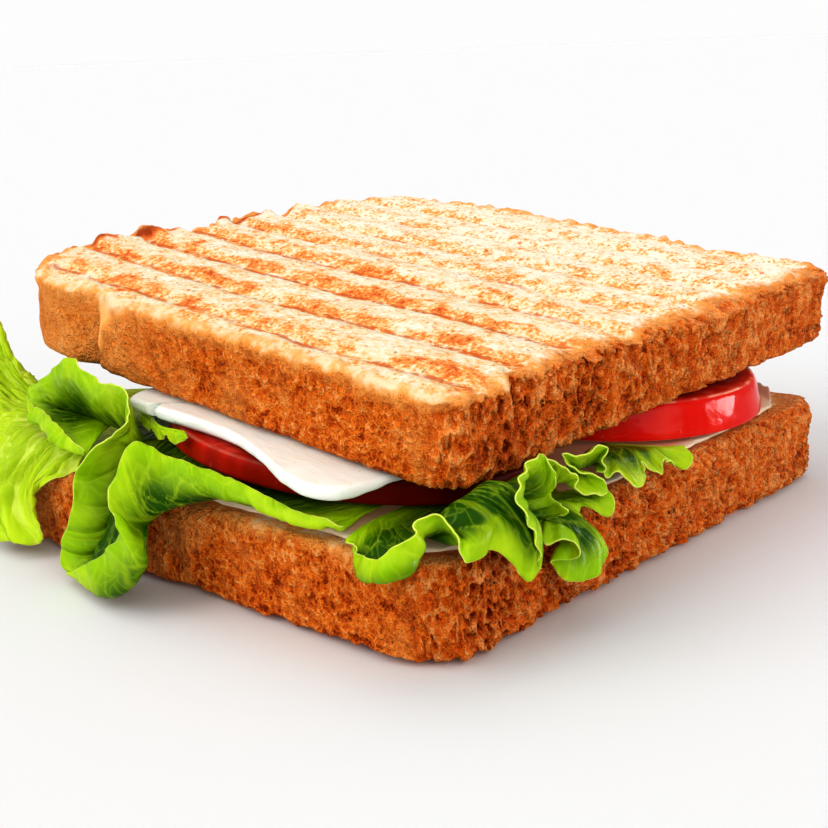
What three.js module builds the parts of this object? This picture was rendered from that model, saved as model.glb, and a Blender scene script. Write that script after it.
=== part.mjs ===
// A toasted turkey sandwich: two grilled bread slices with turkey, lettuce and tomato between them.
// Millimetres, +Z up. The origin is the middle of the flat underside of the bottom slice.
// The domed crown of the loaf is at -X, its flat base is at +X.
import * as THREE from "three";
import { mergeVertices } from "three/addons/utils/BufferGeometryUtils.js";

const degrees = THREE.MathUtils.degToRad;
const smoothstep = THREE.MathUtils.smoothstep;

// Driving dimensions of the bread.
const SLICE_WIDTH = 102;
const BOTTOM_DEPTH = 104.6;
const TOP_DEPTH = 105.6;
const BOTTOM_THICKNESS = 14.2;
const TOP_THICKNESS = 13.8;
const CRUST_EDGE = 1.3;
const CRUST_RELIEF = 1.1;
const CRUST_GRAIN = 4.2;

// The top slice lies aslant on the filling, lower at its base side, and set back a little.
const TOP_PLACE = new THREE.Vector3(-2.1, 6.5, 27.7);
const TOP_TILT = new THREE.Euler(degrees(0.8), degrees(6), 0, "ZXY");

// Corner radii, at crown front, base front, base back and crown back.
const TOP_CORNERS = [21, 5, 5, 23];
const BOTTOM_CORNERS = [14, 9, 5, 20];

// Grooves pressed into the toasted face by the grill.
const GROOVE_PITCH = 11.75;
const GROOVE_OFFSET = 0.4;
const GROOVE_DEPTH = 1.3;
const GROOVE_SHARPNESS = 3;
const GROOVE_WANDER = 0.7;

// Layers between the slices.
const GAP = 0.35;
const TURKEY_THICKNESS = 1;
const LEAF_THICKNESS = 0.6;
const UPPER_TURKEY_THICKNESS = 1.3;
const UPPER_TURKEY_RIM = 2;
const THINNEST_TURKEY = 0.7;
// How steeply the upper slice droops where it leaves the tomato.
const TURKEY_DROOP = 0.3;
const LEFT_TOMATO = {
  x: 13.5,
  y: -27.5,
  z: 19.29,
  wide: 31.5,
  deep: 23.3,
  thickness: 3.6,
  tilt: 4.3,
  taper: 0.6,
};
const RIGHT_TOMATO = {
  x: 27,
  y: 22,
  z: 16.8,
  wide: 25,
  deep: 25,
  thickness: 6,
  tilt: 2,
  taper: 1.8,
};

// A repeatable value from 0 to 1 for each whole-number place.
function speck(i, j, k) {
  const wave = Math.sin(i * 127.1 + j * 311.7 + k * 74.7) * 43758.5453;
  return wave - Math.floor(wave);
}

// Smooth bread-like unevenness from 0 to 1, blended between the specks around a point.
function crumb(x, y, z) {
  const [i, j, k] = [x, y, z].map(Math.floor);
  const [u, v, w] = [x - i, y - j, z - k].map((f) => f * f * (3 - 2 * f));
  let total = 0;
  for (const [di, wi] of [[0, 1 - u], [1, u]]) {
    for (const [dj, wj] of [[0, 1 - v], [1, v]]) {
      for (const [dk, wk] of [[0, 1 - w], [1, w]]) {
        total += wi * wj * wk * speck(i + di, j + dj, k + dk);
      }
    }
  }
  return total;
}

// How far a rectangle with rounded corners reaches from its middle in the direction (x, y).
function roundedReach(x, y, halfWidth, halfDepth, corners) {
  const length = Math.hypot(x, y);
  const dx = x / length;
  const dy = y / length;
  const reach = Math.min(halfWidth / Math.abs(dx), halfDepth / Math.abs(dy));
  const radius = corners[(dy > 0 ? 2 : 0) + (dx > 0 === dy > 0 ? 0 : 1)];
  const cx = Math.sign(dx) * (halfWidth - radius);
  const cy = Math.sign(dy) * (halfDepth - radius);
  if (reach * Math.abs(dx) <= Math.abs(cx) || reach * Math.abs(dy) <= Math.abs(cy)) return reach;
  const along = dx * cx + dy * cy;
  return along + Math.sqrt(along * along - cx * cx - cy * cy + radius * radius);
}

// A closed body keeps shared corners only, and its faces are turned to point out.
function closedBody(geometry) {
  geometry.deleteAttribute("normal");
  geometry.deleteAttribute("uv");
  const body = mergeVertices(geometry, 1e-4);
  const places = body.attributes.position;
  const index = body.index;
  const [a, b, c] = [new THREE.Vector3(), new THREE.Vector3(), new THREE.Vector3()];
  let volume = 0;
  for (let i = 0; i < index.count; i += 3) {
    a.fromBufferAttribute(places, index.getX(i));
    b.fromBufferAttribute(places, index.getX(i + 1));
    c.fromBufferAttribute(places, index.getX(i + 2));
    volume += a.dot(b.cross(c));
  }
  if (volume < 0) body.setIndex(Array.from(index.array).reverse());
  body.computeVertexNormals();
  return body;
}

// A bread slice: a segmented block whose outline is rounded and whose crust is uneven.
function slice({ depth, thickness, corners, cells, dents, face, ragged }) {
  const halfWidth = SLICE_WIDTH / 2;
  const halfDepth = depth / 2;
  const geometry = new THREE.BoxGeometry(SLICE_WIDTH, depth, thickness, cells[0], cells[1], cells[2]);
  const places = geometry.attributes.position;
  for (let i = 0; i < places.count; i++) {
    const x = places.getX(i);
    const y = places.getY(i);
    const z = places.getZ(i);
    const share = Math.max(Math.abs(x) / halfWidth, Math.abs(y) / halfDepth);
    const inTheMiddle = share === 0;
    const squareReach = inTheMiddle ? 1 : Math.hypot(x, y) / share;
    let reach = inTheMiddle ? 1 : roundedReach(x, y, halfWidth, halfDepth, corners);
    const onTop = z > thickness / 2 - 0.01;
    const onUnderside = z < 0.01 - thickness / 2;
    const onCrust = share > 0.999;
    let height = z + thickness / 2;
    if (onCrust) {
      const unevenness = crumb(x / CRUST_GRAIN, y / CRUST_GRAIN, (z + ragged) / CRUST_GRAIN);
      reach -= CRUST_RELIEF * unevenness + (onTop || onUnderside ? CRUST_EDGE : 0);
      for (const dent of dents) {
        const away = Math.hypot(x - dent.x, y - dent.y) / dent.width;
        reach -= dent.depth * Math.exp(-(away ** 2));
      }
      if (onUnderside) height += ragged * unevenness;
    }
    const spread = 1 + (reach / squareReach - 1) * share ** 3;
    if (onTop) height += face(x * spread, y * spread, share);
    places.setXYZ(i, x * spread, y * spread, height);
  }
  return closedBody(geometry);
}

// The toasted face: grill grooves that wander a little and fade out at the crust.
function grilledFace(x, y, share) {
  const wander = GROOVE_WANDER * Math.sin(x / 17 + y / 23);
  const phase = (2 * Math.PI * (y - GROOVE_OFFSET - wander)) / GROOVE_PITCH;
  const groove = (0.5 + 0.5 * Math.cos(phase)) ** GROOVE_SHARPNESS;
  const pressed = 0.55 + 0.45 * crumb(x / 14, y / 14, 3);
  const pillow = 0.5 * crumb(x / 7, y / 7, 9);
  return -GROOVE_DEPTH * groove * pressed * (1 - 0.5 * smoothstep(share, 0.9, 1)) - pillow;
}

// A thin solid over a grid: upper and lower give its two faces at (a, b), both from 0 to 1.
// Both faces are split into the same triangles, and a rim of the sheet's thickness closes it.
function sheet(columns, rows, upper, lower) {
  const grid = new THREE.PlaneGeometry(1, 1, columns, rows);
  const faces = Array.from(grid.index.array);
  const count = (columns + 1) * (rows + 1);
  const corners = [];
  for (const side of [upper, lower]) {
    for (let i = 0; i < count; i++) {
      const point = side((i % (columns + 1)) / columns, Math.floor(i / (columns + 1)) / rows, i);
      corners.push(point.x, point.y, point.z);
    }
  }
  const index = [...faces, ...faces.map((i) => i + count).reverse()];
  const rim = [];
  for (let c = 0; c < columns; c++) rim.push(c);
  for (let r = 0; r < rows; r++) rim.push((r + 1) * (columns + 1) - 1);
  for (let c = columns; c > 0; c--) rim.push(rows * (columns + 1) + c);
  for (let r = rows; r > 0; r--) rim.push(r * (columns + 1));
  rim.forEach((here, i) => {
    const next = rim[(i + 1) % rim.length];
    index.push(here, next, next + count, here, next + count, here + count);
  });
  const geometry = new THREE.BufferGeometry();
  geometry.setAttribute("position", new THREE.Float32BufferAttribute(corners, 3));
  geometry.setIndex(index);
  return closedBody(geometry);
}

// A smooth line through a few points, closed into a ring if asked.
function through(points, closed = false) {
  const places = points.map((point) => new THREE.Vector3(...point));
  return new THREE.CatmullRomCurve3(places, closed, "centripetal");
}

// A cooked slice that lies flat. The outline gives its rim for a turn from 0 to 1 about its middle,
// top and underside are its heights at a place and at a share of the way out to the rim.
// Its cells are finer towards the rim, where it bends.
function flatSlice({ middle, cells, outline, top, underside }) {
  const place = (height) => (a, b) => {
    const across = 2 * a - 1;
    const along = 1 - 2 * b;
    const share = 1 - (1 - Math.max(Math.abs(across), Math.abs(along))) ** 1.5;
    const rim = outline((Math.atan2(along, across) / (2 * Math.PI) + 1) % 1);
    const point = middle.clone().lerp(rim, share);
    return point.setZ(height(point.x, point.y, share));
  };
  return sheet(cells, cells, place(top), place(underside));
}

// A leaf runs from its heart, deep in the sandwich, past its root, where it leaves the bread,
// to its ruffled edge. Each row of the edge is a point, then the point where the leaf turns before it,
// then how far it arches up on leaving the bread, and how far it swings to the right there,
// seen looking outwards. A row without a turning point runs straight.
const STRAIGHT_TURN = 0.65;
const SHOULDER_SINK = 0.12;
function leaf({ heart, root, edge, columns, rows }) {
  const heartLine = through(heart);
  const rootLine = through(root);
  const edgeLine = through(edge.map((row) => row.slice(0, 3)));
  const turns = edge.map((row, i) => {
    if (row.length > 3) return row.slice(3, 6);
    const leaving = rootLine.getPoint(i / (edge.length - 1));
    return leaving.lerp(new THREE.Vector3(...row), STRAIGHT_TURN).toArray();
  });
  const turnLine = through(turns);
  const archLine = through(edge.map((row, i) => [i, row[6] ?? 0, row[7] ?? 0]));
  const ways = Array.from({ length: columns + 1 }, (_, column) => {
    const a = column / columns;
    const leaving = rootLine.getPoint(a);
    const turn = turnLine.getPoint(a);
    const arch = archLine.getPoint(a);
    const outwards = new THREE.Vector3(turn.x - leaving.x, turn.y - leaving.y, 0).normalize();
    const shoulder = leaving.clone().lerp(turn, 0.5);
    shoulder.x += arch.z * outwards.y;
    shoulder.y -= arch.z * outwards.x;
    shoulder.z = leaving.z + SHOULDER_SINK * (turn.z - leaving.z) + arch.y;
    const way = through([leaving, shoulder, turn, edgeLine.getPoint(a)]);
    return [heartLine.getPoint(a), ...way.getPoints(rows - 1)];
  });
  const surface = new THREE.PlaneGeometry(1, 1, columns, rows);
  const places = surface.attributes.position;
  for (let i = 0; i < places.count; i++) {
    const point = ways[i % (columns + 1)][Math.floor(i / (columns + 1))];
    places.setXYZ(i, point.x, point.y, point.z);
  }
  surface.computeVertexNormals();
  const offset = (distance) => (a, b, i) => {
    const normal = new THREE.Vector3().fromBufferAttribute(surface.attributes.normal, i);
    return new THREE.Vector3().fromBufferAttribute(places, i).addScaledVector(normal, distance);
  };
  return sheet(columns, rows, offset(LEAF_THICKNESS / 2), offset(-LEAF_THICKNESS / 2));
}

// A tomato slice: a turned disc with a bulging skin, a little out of round.
function tomato({ x, y, z, wide, deep, thickness, tilt, taper }) {
  const profile = [
    [0, 0],
    [deep - 1.1, 0],
    [deep - 0.2, 0.4],
    [deep - 0.3 * taper, thickness * 0.45],
    [deep - 0.85 * taper, thickness - 0.4],
    [deep - taper - 0.9, thickness],
    [0, thickness],
  ];
  const geometry = new THREE.LatheGeometry(profile.map(([r, h]) => new THREE.Vector2(r, h)), 40);
  geometry.rotateX(Math.PI / 2);
  const places = geometry.attributes.position;
  for (let i = 0; i < places.count; i++) {
    const angle = Math.atan2(places.getY(i), places.getX(i));
    const round = 1 + 0.01 * Math.sin(3 * angle + 1) + 0.005 * Math.sin(5 * angle);
    places.setXY(i, (places.getX(i) * round * wide) / deep, places.getY(i) * round);
  }
  const body = closedBody(geometry);
  body.rotateY(degrees(tilt));
  body.translate(x, y, z);
  return body;
}

// Height of the top face of a tomato slice at a place, as its tilt gives it.
function tomatoTop({ x, z, thickness, tilt }, px) {
  return z + thickness / Math.cos(degrees(tilt)) - Math.tan(degrees(tilt)) * (px - x);
}

// Height of the underside of the top slice at a place.
function underTopSlice(x, y) {
  const alongX = Math.tan(TOP_TILT.y) * (x - TOP_PLACE.x);
  const alongY = Math.tan(TOP_TILT.x) * (y - TOP_PLACE.y);
  return TOP_PLACE.z - alongX + alongY;
}

const sandwich = new THREE.Group();
sandwich.name = "sandwich";

function add(name, geometry, color, roughness, parent = sandwich) {
  const material = new THREE.MeshStandardMaterial({ color, roughness, metalness: 0 });
  const mesh = new THREE.Mesh(geometry, material);
  mesh.name = name;
  parent.add(mesh);
  return mesh;
}

const CRUST_COLOR = 0xc4722c;
const TURKEY_COLOR = 0xe9c9b4;
const POULTRY_COLOR = 0xf4efe8;
const LEAF_COLOR = 0x8cc820;
const TOMATO_COLOR = 0xc9200f;

// The bottom slice, flat on its underside.
const bottomSlice = slice({
  depth: BOTTOM_DEPTH,
  thickness: BOTTOM_THICKNESS,
  corners: BOTTOM_CORNERS,
  cells: [16, 16, 3],
  dents: [{ x: 10, y: -52, depth: 1, width: 6 }],
  face: () => 0,
  ragged: 1,
});
add("bread_bottom", bottomSlice, CRUST_COLOR, 0.85);

// The top slice, with its grilled face up, a waist below the crown and a notch in the crown.
const topSlice = slice({
  depth: TOP_DEPTH,
  thickness: TOP_THICKNESS,
  corners: TOP_CORNERS,
  cells: [18, 34, 3],
  dents: [
    { x: -23, y: -51.7, depth: 2, width: 3.5 },
    { x: 28, y: 51.7, depth: 2, width: 4 },
    { x: -50.5, y: -9, depth: 4, width: 3.5 },
    { x: -50.5, y: 14, depth: 1.5, width: 3 },
  ],
  face: grilledFace,
  ragged: 0,
});
const topGroup = new THREE.Group();
topGroup.position.copy(TOP_PLACE);
topGroup.rotation.copy(TOP_TILT);
sandwich.add(topGroup);
add("bread_top", topSlice, CRUST_COLOR, 0.85, topGroup);

add("tomato_left", tomato(LEFT_TOMATO), TOMATO_COLOR, 0.25);
add("tomato_right", tomato(RIGHT_TOMATO), TOMATO_COLOR, 0.25);

// The lower turkey slice covers the bottom slice, and one corner of it folds up behind the right tomato.
const LOWER_TURKEY_FLOOR = BOTTOM_THICKNESS + GAP;
const FOLD_RISE = 6.5;
const LOWER_TURKEY_CORNERS = [14, 9, 18, 20];
const LOWER_TURKEY_X = 2;
const LOWER_TURKEY_HALF_SIZE = [47.3, 50];
const TEAR_DEPTH = 1.2;
const RIM_RISE = 0.3;
function lowerTurkeyRise(x, y) {
  const away = Math.hypot(x - RIGHT_TOMATO.x, y - RIGHT_TOMATO.y) - RIGHT_TOMATO.wide;
  const towardsCorner = smoothstep(x, 34, 44) * smoothstep(y, 30, 42);
  return FOLD_RISE * smoothstep(away, 2.2, 6) * towardsCorner;
}
function lowerTurkeyTop(x, y, share) {
  const rim = RIM_RISE * smoothstep(share, 0.93, 1) * (1 - smoothstep(x, 28, 36));
  return LOWER_TURKEY_FLOOR + TURKEY_THICKNESS + rim + lowerTurkeyRise(x, y);
}
const lowerTurkey = flatSlice({
  middle: new THREE.Vector3(LOWER_TURKEY_X, 0, 0),
  cells: 12,
  outline: (turn) => {
    const dx = Math.cos(2 * Math.PI * turn);
    const dy = Math.sin(2 * Math.PI * turn);
    const torn = TEAR_DEPTH * crumb(dx * 9, dy * 9, 5);
    const whole = roundedReach(dx, dy, ...LOWER_TURKEY_HALF_SIZE, LOWER_TURKEY_CORNERS);
    return new THREE.Vector3(LOWER_TURKEY_X + dx * (whole - torn), dy * (whole - torn), 0);
  },
  top: lowerTurkeyTop,
  underside: (x, y) => LOWER_TURKEY_FLOOR + lowerTurkeyRise(x, y),
});
add("turkey_lower", lowerTurkey, TURKEY_COLOR, 0.5);

// The upper turkey slice lies on the left tomato, and one corner of it hangs out at the front.
const upperTurkeyOutline = [
  [39.5, -28, 0],
  [37, -14, 0],
  [28, -8.5, 0],
  [16, -6.5, 0],
  [4, -7.5, 0],
  [-6, -11, 0],
  [-11, -19, 0],
  [-12.5, -29, 0],
  [-12.6, -38, 0],
  [-12.4, -45.5, 0],
  [-11.2, -48.4, 0],
  [-7, -48.8, 0],
  [-1, -48.3, 0],
  [5.4, -47.9, 0],
  [12, -48.4, 0],
  [20.7, -51.1, 0],
  [26.8, -53.3, 0],
  [31.9, -54, 0],
  [34.8, -52.3, 0],
  [36.5, -47.5, 0],
  [38, -40, 0],
];
const upperTurkeyRim = through(upperTurkeyOutline, true);
function upperTurkeyTop(x, y) {
  return underTopSlice(x, y) - GAP;
}
function upperTurkeyUnderside(x, y, share) {
  const swelling = (UPPER_TURKEY_RIM - UPPER_TURKEY_THICKNESS) * smoothstep(share, 0.85, 1);
  const free = upperTurkeyTop(x, y) - UPPER_TURKEY_THICKNESS - swelling;
  const across = ((x - LEFT_TOMATO.x) * LEFT_TOMATO.deep) / LEFT_TOMATO.wide;
  const away = Math.hypot(across, y - LEFT_TOMATO.y) - LEFT_TOMATO.deep;
  const resting = tomatoTop(LEFT_TOMATO, x) + GAP - TURKEY_DROOP * Math.max(0, away - 1);
  return Math.max(free, Math.min(resting, upperTurkeyTop(x, y) - THINNEST_TURKEY));
}
const upperTurkey = flatSlice({
  middle: new THREE.Vector3(12, -27, 0),
  cells: 12,
  outline: (turn) => upperTurkeyRim.getPoint(turn),
  top: upperTurkeyTop,
  underside: upperTurkeyUnderside,
});
add("turkey_upper", upperTurkey, POULTRY_COLOR, 0.45);

// The left leaf, from right to left: a turned-up band, a lobe, a hanging tongue with a curled tip,
// the tongue's left wall, an upright lobe, and a cupped lobe at the far left.
const leftLeaf = leaf({
  columns: 58,
  rows: 7,
  heart: [[30, -12, 16.8], [8, -4, 17.2], [-6, 16, 18], [-22, 24, 19.5], [-34, 8, 20.5]],
  root: [
    [33.5, -46, 16.9],
    [21, -46.5, 17.2],
    [8, -46.5, 18.2],
    [2, -46, 19.4],
    [-3, -45.5, 19.9],
    [-8, -45.5, 20.3],
    [-12, -45, 20.6],
    [-15, -44, 20.7],
    [-19, -42, 21.2],
    [-24, -42, 20.5],
  ],
  edge: [
    [36, -51.8, 17.8, 35.5, -51.5, 17.2],
    [28, -52.5, 18.7, 28.8, -53, 16.9],
    [18.5, -52.8, 20.3, 21, -54, 18],
    [11, -53.2, 21.4, 14.5, -55, 18.7],
    [3, -54.5, 22.6, 8.5, -56, 17.5],
    [-1, -56.5, 24.4, 4.8, -57, 15.6],
    [-2, -59.5, 20, 2.5, -57.5, 14, -1, 2],
    [-1.2, -62, 17, 0.8, -58.3, 11.8, -2, 4],
    [0.3, -61.5, 14, 3.5, -60, 10.6, -2.5, 5.5],
    [-0.7, -61, 11.3, 5, -61, 8.5, -1.9, 6.5],
    [-4.5, -60.5, 8.2, 3, -62, 5, -1.8, 5.5],
    [-9.5, -60.5, 5.3, -4.5, -62, 1.9, -2.3, 3],
    [-17.5, -59.5, 1.8, -13, -59, 2.8, -2.5],
    [-17.4, -59.5, 6.5, -12.5, -57.5, 4.5, -3.3],
    [-15, -59.5, 10, -11, -56.5, 7.5, -2.8],
    [-13.6, -59.5, 13.6, -10.5, -55.5, 11.5, -2.4],
    [-13.4, -58.5, 18, -10.5, -54, 16.5, -1.5],
    [-11, -56.5, 21.5, -10, -52.5, 21],
    [-6.2, -54.5, 24.8, -8, -52, 23.5],
    [-6.6, -52.2, 28.4, -9, -50.5, 26],
    [-9.8, -51.5, 30.4, -11.5, -50, 27],
    [-14.5, -50.5, 29.8, -14.5, -50, 26.5],
    [-20, -49.5, 30.4, -19, -50, 26.5],
    [-25.4, -48.5, 32.2, -26, -49.5, 29],
    [-34.3, -47.5, 28.2, -32, -48, 25.5],
    [-41.5, -47, 24.2, -38, -48, 23],
    [-37, -49.3, 23, -36, -50.5, 21.3],
    [-30.8, -51, 23.2, -30, -52.5, 21],
    [-22.6, -53.5, 22, -22.5, -54.8, 19.8],
    [-15.5, -55, 20.3, -16, -54.5, 18.8],
  ],
});
add("lettuce_left", leftLeaf, LEAF_COLOR, 0.35);

// The far leaf leaves the crown side: a lobe that hangs at the front, and a long blade
// that rises to the left.
const farLeaf = leaf({
  columns: 38,
  rows: 6,
  heart: [[-14, -10, 17], [-18, -4, 17], [-22, 2, 17.5]],
  root: [[-22, -46, 17], [-30, -45.5, 17.2], [-38, -42, 17.5], [-46, -36, 18], [-49, -28, 19]],
  edge: [
    [-23, -52.5, 14.8, -22.5, -50.5, 16.6, 0],
    [-29.5, -53.5, 11.2, -27.5, -52.5, 14.5, 0.5],
    [-31.8, -54.5, 8.7, -31, -54, 12.5, 1],
    [-29.5, -55.3, 6, -32.5, -55, 10, 1.5],
    [-27, -56.5, 3, -33.5, -55.5, 8, 1.5],
    [-33, -57.5, 1.4, -36.5, -56.5, 8, 1.5],
    [-37.4, -57.5, 1, -39.5, -56, 8.5, 1],
    [-42, -57, 3, -42.5, -54.5, 9.5, 1],
    [-48.7, -55, 5.5, -47.5, -52.5, 11.5, 1],
    [-54, -53, 9.4, -52.5, -49.5, 14, 0.5],
    [-62, -50, 12, -59, -46.5, 15.5, 0.5],
    [-70, -46, 15, -65, -43, 18],
    [-77, -42, 20, -69.5, -40, 21],
    [-79, -39, 26, -70, -38, 24],
    [-75, -37, 32, -67, -37, 26],
    [-68, -36, 34, -63.5, -36.5, 26],
    [-64, -35.9, 27.5, -60.5, -36, 23.5],
    [-60, -36, 21.5, -57.5, -35, 20.8],
    [-55.5, -33.5, 19, -53.5, -32, 19.2],
  ],
});
add("lettuce_far", farLeaf, LEAF_COLOR, 0.35);

// The front leaf wraps the near corner: a cupped curl, a small curl, hanging lobes, a tall spike
// and ruffles.
const frontLeaf = leaf({
  columns: 72,
  rows: 6,
  heart: [[34, -20, 16.6], [40, -18, 16.3], [43, -16, 16.2]],
  root: [[35.5, -46, 16.6], [43, -45.5, 16.5], [46.5, -42, 16.2], [47.4, -34, 16.2], [47.6, -22, 16.2]],
  edge: [
    [36.9, -52.7, 15.3, 36.5, -51.8, 16],
    [42.8, -55.7, 16.6, 41.6, -55.7, 13],
    [46.4, -57, 17.5, 47.5, -57.1, 14.6],
    [48.2, -56.2, 18.8, 49.7, -55.4, 15.3],
    [49.5, -54.3, 19.9, 50.5, -53.5, 17.5],
    [48.5, -52.6, 20.8, 48.3, -50.5, 18.5],
    [49, -50.2, 21.3, 48.5, -48.5, 19],
    [51.4, -49.5, 20.3, 50, -47.8, 18.5],
    [52.8, -50, 18.7, 51.5, -48, 17.5],
    [53.5, -49.8, 15.8, 53, -48, 18, 2],
    [54.3, -48.1, 15.4, 53.5, -46, 18.8, 3.5],
    [53.9, -44.9, 15.7, 53.5, -43.5, 19.5, 4.2],
    [55, -42.3, 13.4, 55, -41.5, 18.5, 5],
    [56, -40.4, 10.6, 56.3, -40, 16.5, 6],
    [57, -38.6, 12.1, 56.5, -38.5, 17.5, 6.5],
    [58, -39.9, 15.7, 56.3, -38.8, 19, 6.5],
    [58, -42, 19.9, 55.5, -39.5, 20.8, 6.3],
    [57, -42.6, 23.1, 54.8, -39.3, 22, 6],
    [55, -38.7, 24.7, 53.5, -36.8, 23.2, 4.5],
    [54, -34.1, 25.9, 53, -33.5, 23.3, 4],
    [55, -32.1, 22.4, 53, -32, 20, 3],
    [53, -30.3, 19.1, 52, -31, 18.3, 1.5],
    [57, -32.4, 18.3, 54, -31.5, 17],
    [52.5, -30.8, 15.2, 52, -30.5, 16],
    [55, -35, 13.8, 53, -31.5, 15.5],
    [57, -31.8, 13.8, 54.5, -30.5, 15],
    [57, -30.5, 10.9, 55, -29.5, 13.5],
    [53.5, -31.2, 9.4, 53.3, -29.5, 12.5],
    [55, -30.7, 7.2, 54.5, -28.5, 11],
    [57, -25.9, 7.2, 55.5, -25.5, 11.5],
    [56, -22.5, 9.6, 54.5, -23.5, 12.5],
    [52.8, -23.6, 11.2, 52.6, -24, 14],
    [53, -23.3, 15.2, 52, -23.5, 16],
    [56, -21.3, 13.7, 54, -22, 16],
    [56, -19.8, 16.3, 53.5, -21, 16.8],
    [53, -20.1, 16.9, 51.5, -21.3, 16.8],
    [50.6, -21.8, 17, 49.5, -22, 16.8],
  ],
});
add("lettuce_front", frontLeaf, LEAF_COLOR, 0.35);

// The right leaf shows between the tomatoes as a narrow frill.
const rightLeaf = leaf({
  columns: 56,
  rows: 4,
  heart: [[45.5, -13, 18.8], [44, -8, 18.3], [43, -4, 18]],
  root: [[49.4, -27, 19.2], [49.3, -19, 19.5], [49, -9, 19], [50.2, 1, 17.4]],
  edge: [
    [53, -31.5, 24.6],
    [53.6, -28.8, 22.7],
    [54.3, -26, 20.2],
    [54, -26.4, 18.9],
    [55, -23.8, 17.6],
    [55.5, -20.8, 17.2],
    [54.6, -20.8, 18.8],
    [52.6, -24.2, 20.6],
    [52, -27, 23.7],
    [53, -23.8, 22.8],
    [54, -20.9, 23.6],
    [54.4, -19.4, 23],
    [54, -20.2, 21.4],
    [54, -19.9, 20],
    [52.8, -19.9, 19.4],
    [52.6, -18.4, 19],
    [53, -17.6, 18],
    [54, -16.2, 18.4],
    [55.5, -15.1, 16.6],
    [56, -13.5, 16.1],
    [55, -10.9, 16.6],
    [53, -8.8, 18],
    [55.5, -7.6, 16.1],
    [54, -4.5, 17.3],
    [53.5, -0.5, 15.5],
    [55, 0.3, 14.8],
    [55.3, 1.8, 16.3],
    [53.5, 2.4, 17.8],
  ],
});
add("lettuce_right", rightLeaf, LEAF_COLOR, 0.35);

// The upper leaf peeps out under the upper turkey slice as small rounded folds.
const upperLeaf = leaf({
  columns: 26,
  rows: 3,
  heart: [
    [-15, -43.4, 24.9],
    [-11.4, -46.2, 24.6],
    [-8.8, -47.0, 24.5],
    [-6.8, -48.0, 24.4],
    [-4.6, -48.9, 24.2],
    [-2.4, -49.4, 24.2],
    [0.2, -50.0, 24.5],
    [2.6, -49.9, 24.5],
  ],
  root: [
    [-14.6, -44.2, 24.6],
    [-11.2, -46.9, 24.2],
    [-8.6, -47.5, 24],
    [-6.6, -48.5, 24],
    [-4.4, -49.2, 23.7],
    [-2.2, -49.7, 23.8],
    [0.5, -50.3, 24.1],
    [3, -50.1, 24.2],
  ],
  edge: [
    [-14.2, -45.2, 24],
    [-12, -46.9, 23.3],
    [-9.4, -47.9, 22.9],
    [-7.6, -48.4, 22.6],
    [-6.3, -48.9, 23.4],
    [-5.4, -49.2, 22.8],
    [-4, -49.6, 22.1],
    [-2.6, -49.7, 22.3],
    [-1.4, -50, 23.3],
    [-0.2, -50.4, 22.9],
    [1.3, -50.9, 22.5],
    [2.8, -50.7, 23.2],
    [4, -50.4, 23.8],
  ],
});
add("lettuce_upper", upperLeaf, LEAF_COLOR, 0.35);

// The back leaf ruffles round the crown side and the back. Its edge swings in and out and up and down.
const BACK_LEAF = {
  stations: 30,
  inset: 7,
  reach: 4.5,
  swing: 2.6,
  height: 22.4,
  rise: 4.8,
  lean: 0.09,
  waves: 7,
  startAngle: 200,
  sweep: 114,
};
function roundTheBack(share, outset) {
  const angle = degrees(BACK_LEAF.startAngle - BACK_LEAF.sweep * share);
  const dx = Math.cos(angle);
  const dy = Math.sin(angle);
  const reach = roundedReach(dx, dy, SLICE_WIDTH / 2, BOTTOM_DEPTH / 2, BOTTOM_CORNERS) + outset;
  return [dx * reach, dy * reach];
}
function backLeafRow(line) {
  return Array.from({ length: BACK_LEAF.stations + 1 }, (_, i) => line(i / BACK_LEAF.stations));
}
const backLeaf = leaf({
  columns: 30,
  rows: 4,
  heart: [[-34, -4, 23], [-30, 20, 22], [-14, 32, 20], [-2, 36, 19]],
  root: backLeafRow((share) => {
    const [x, y] = roundTheBack(share, -BACK_LEAF.inset);
    return [x, y, BACK_LEAF.height - BACK_LEAF.lean * (x + 40)];
  }),
  edge: backLeafRow((share) => {
    const wave = share * BACK_LEAF.waves * 2 * Math.PI;
    const [x, y] = roundTheBack(share, BACK_LEAF.reach + BACK_LEAF.swing * Math.sin(wave * 0.5 + 1));
    const ruffle = Math.sin(wave) + 0.35 * Math.sin(1.7 * wave + 1);
    return [x, y, BACK_LEAF.height + BACK_LEAF.rise * ruffle - BACK_LEAF.lean * (x + 40)];
  }),
});
add("lettuce_back", backLeaf, LEAF_COLOR, 0.35);

export default sandwich;
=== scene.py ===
"""A toasted turkey sandwich: two grilled bread slices with turkey, lettuce and tomato between them."""

import itertools
import math

import bmesh
import bpy
import numpy as np
from bpy.props import FloatProperty, FloatVectorProperty, PointerProperty
from mathutils import Matrix, Vector


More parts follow.
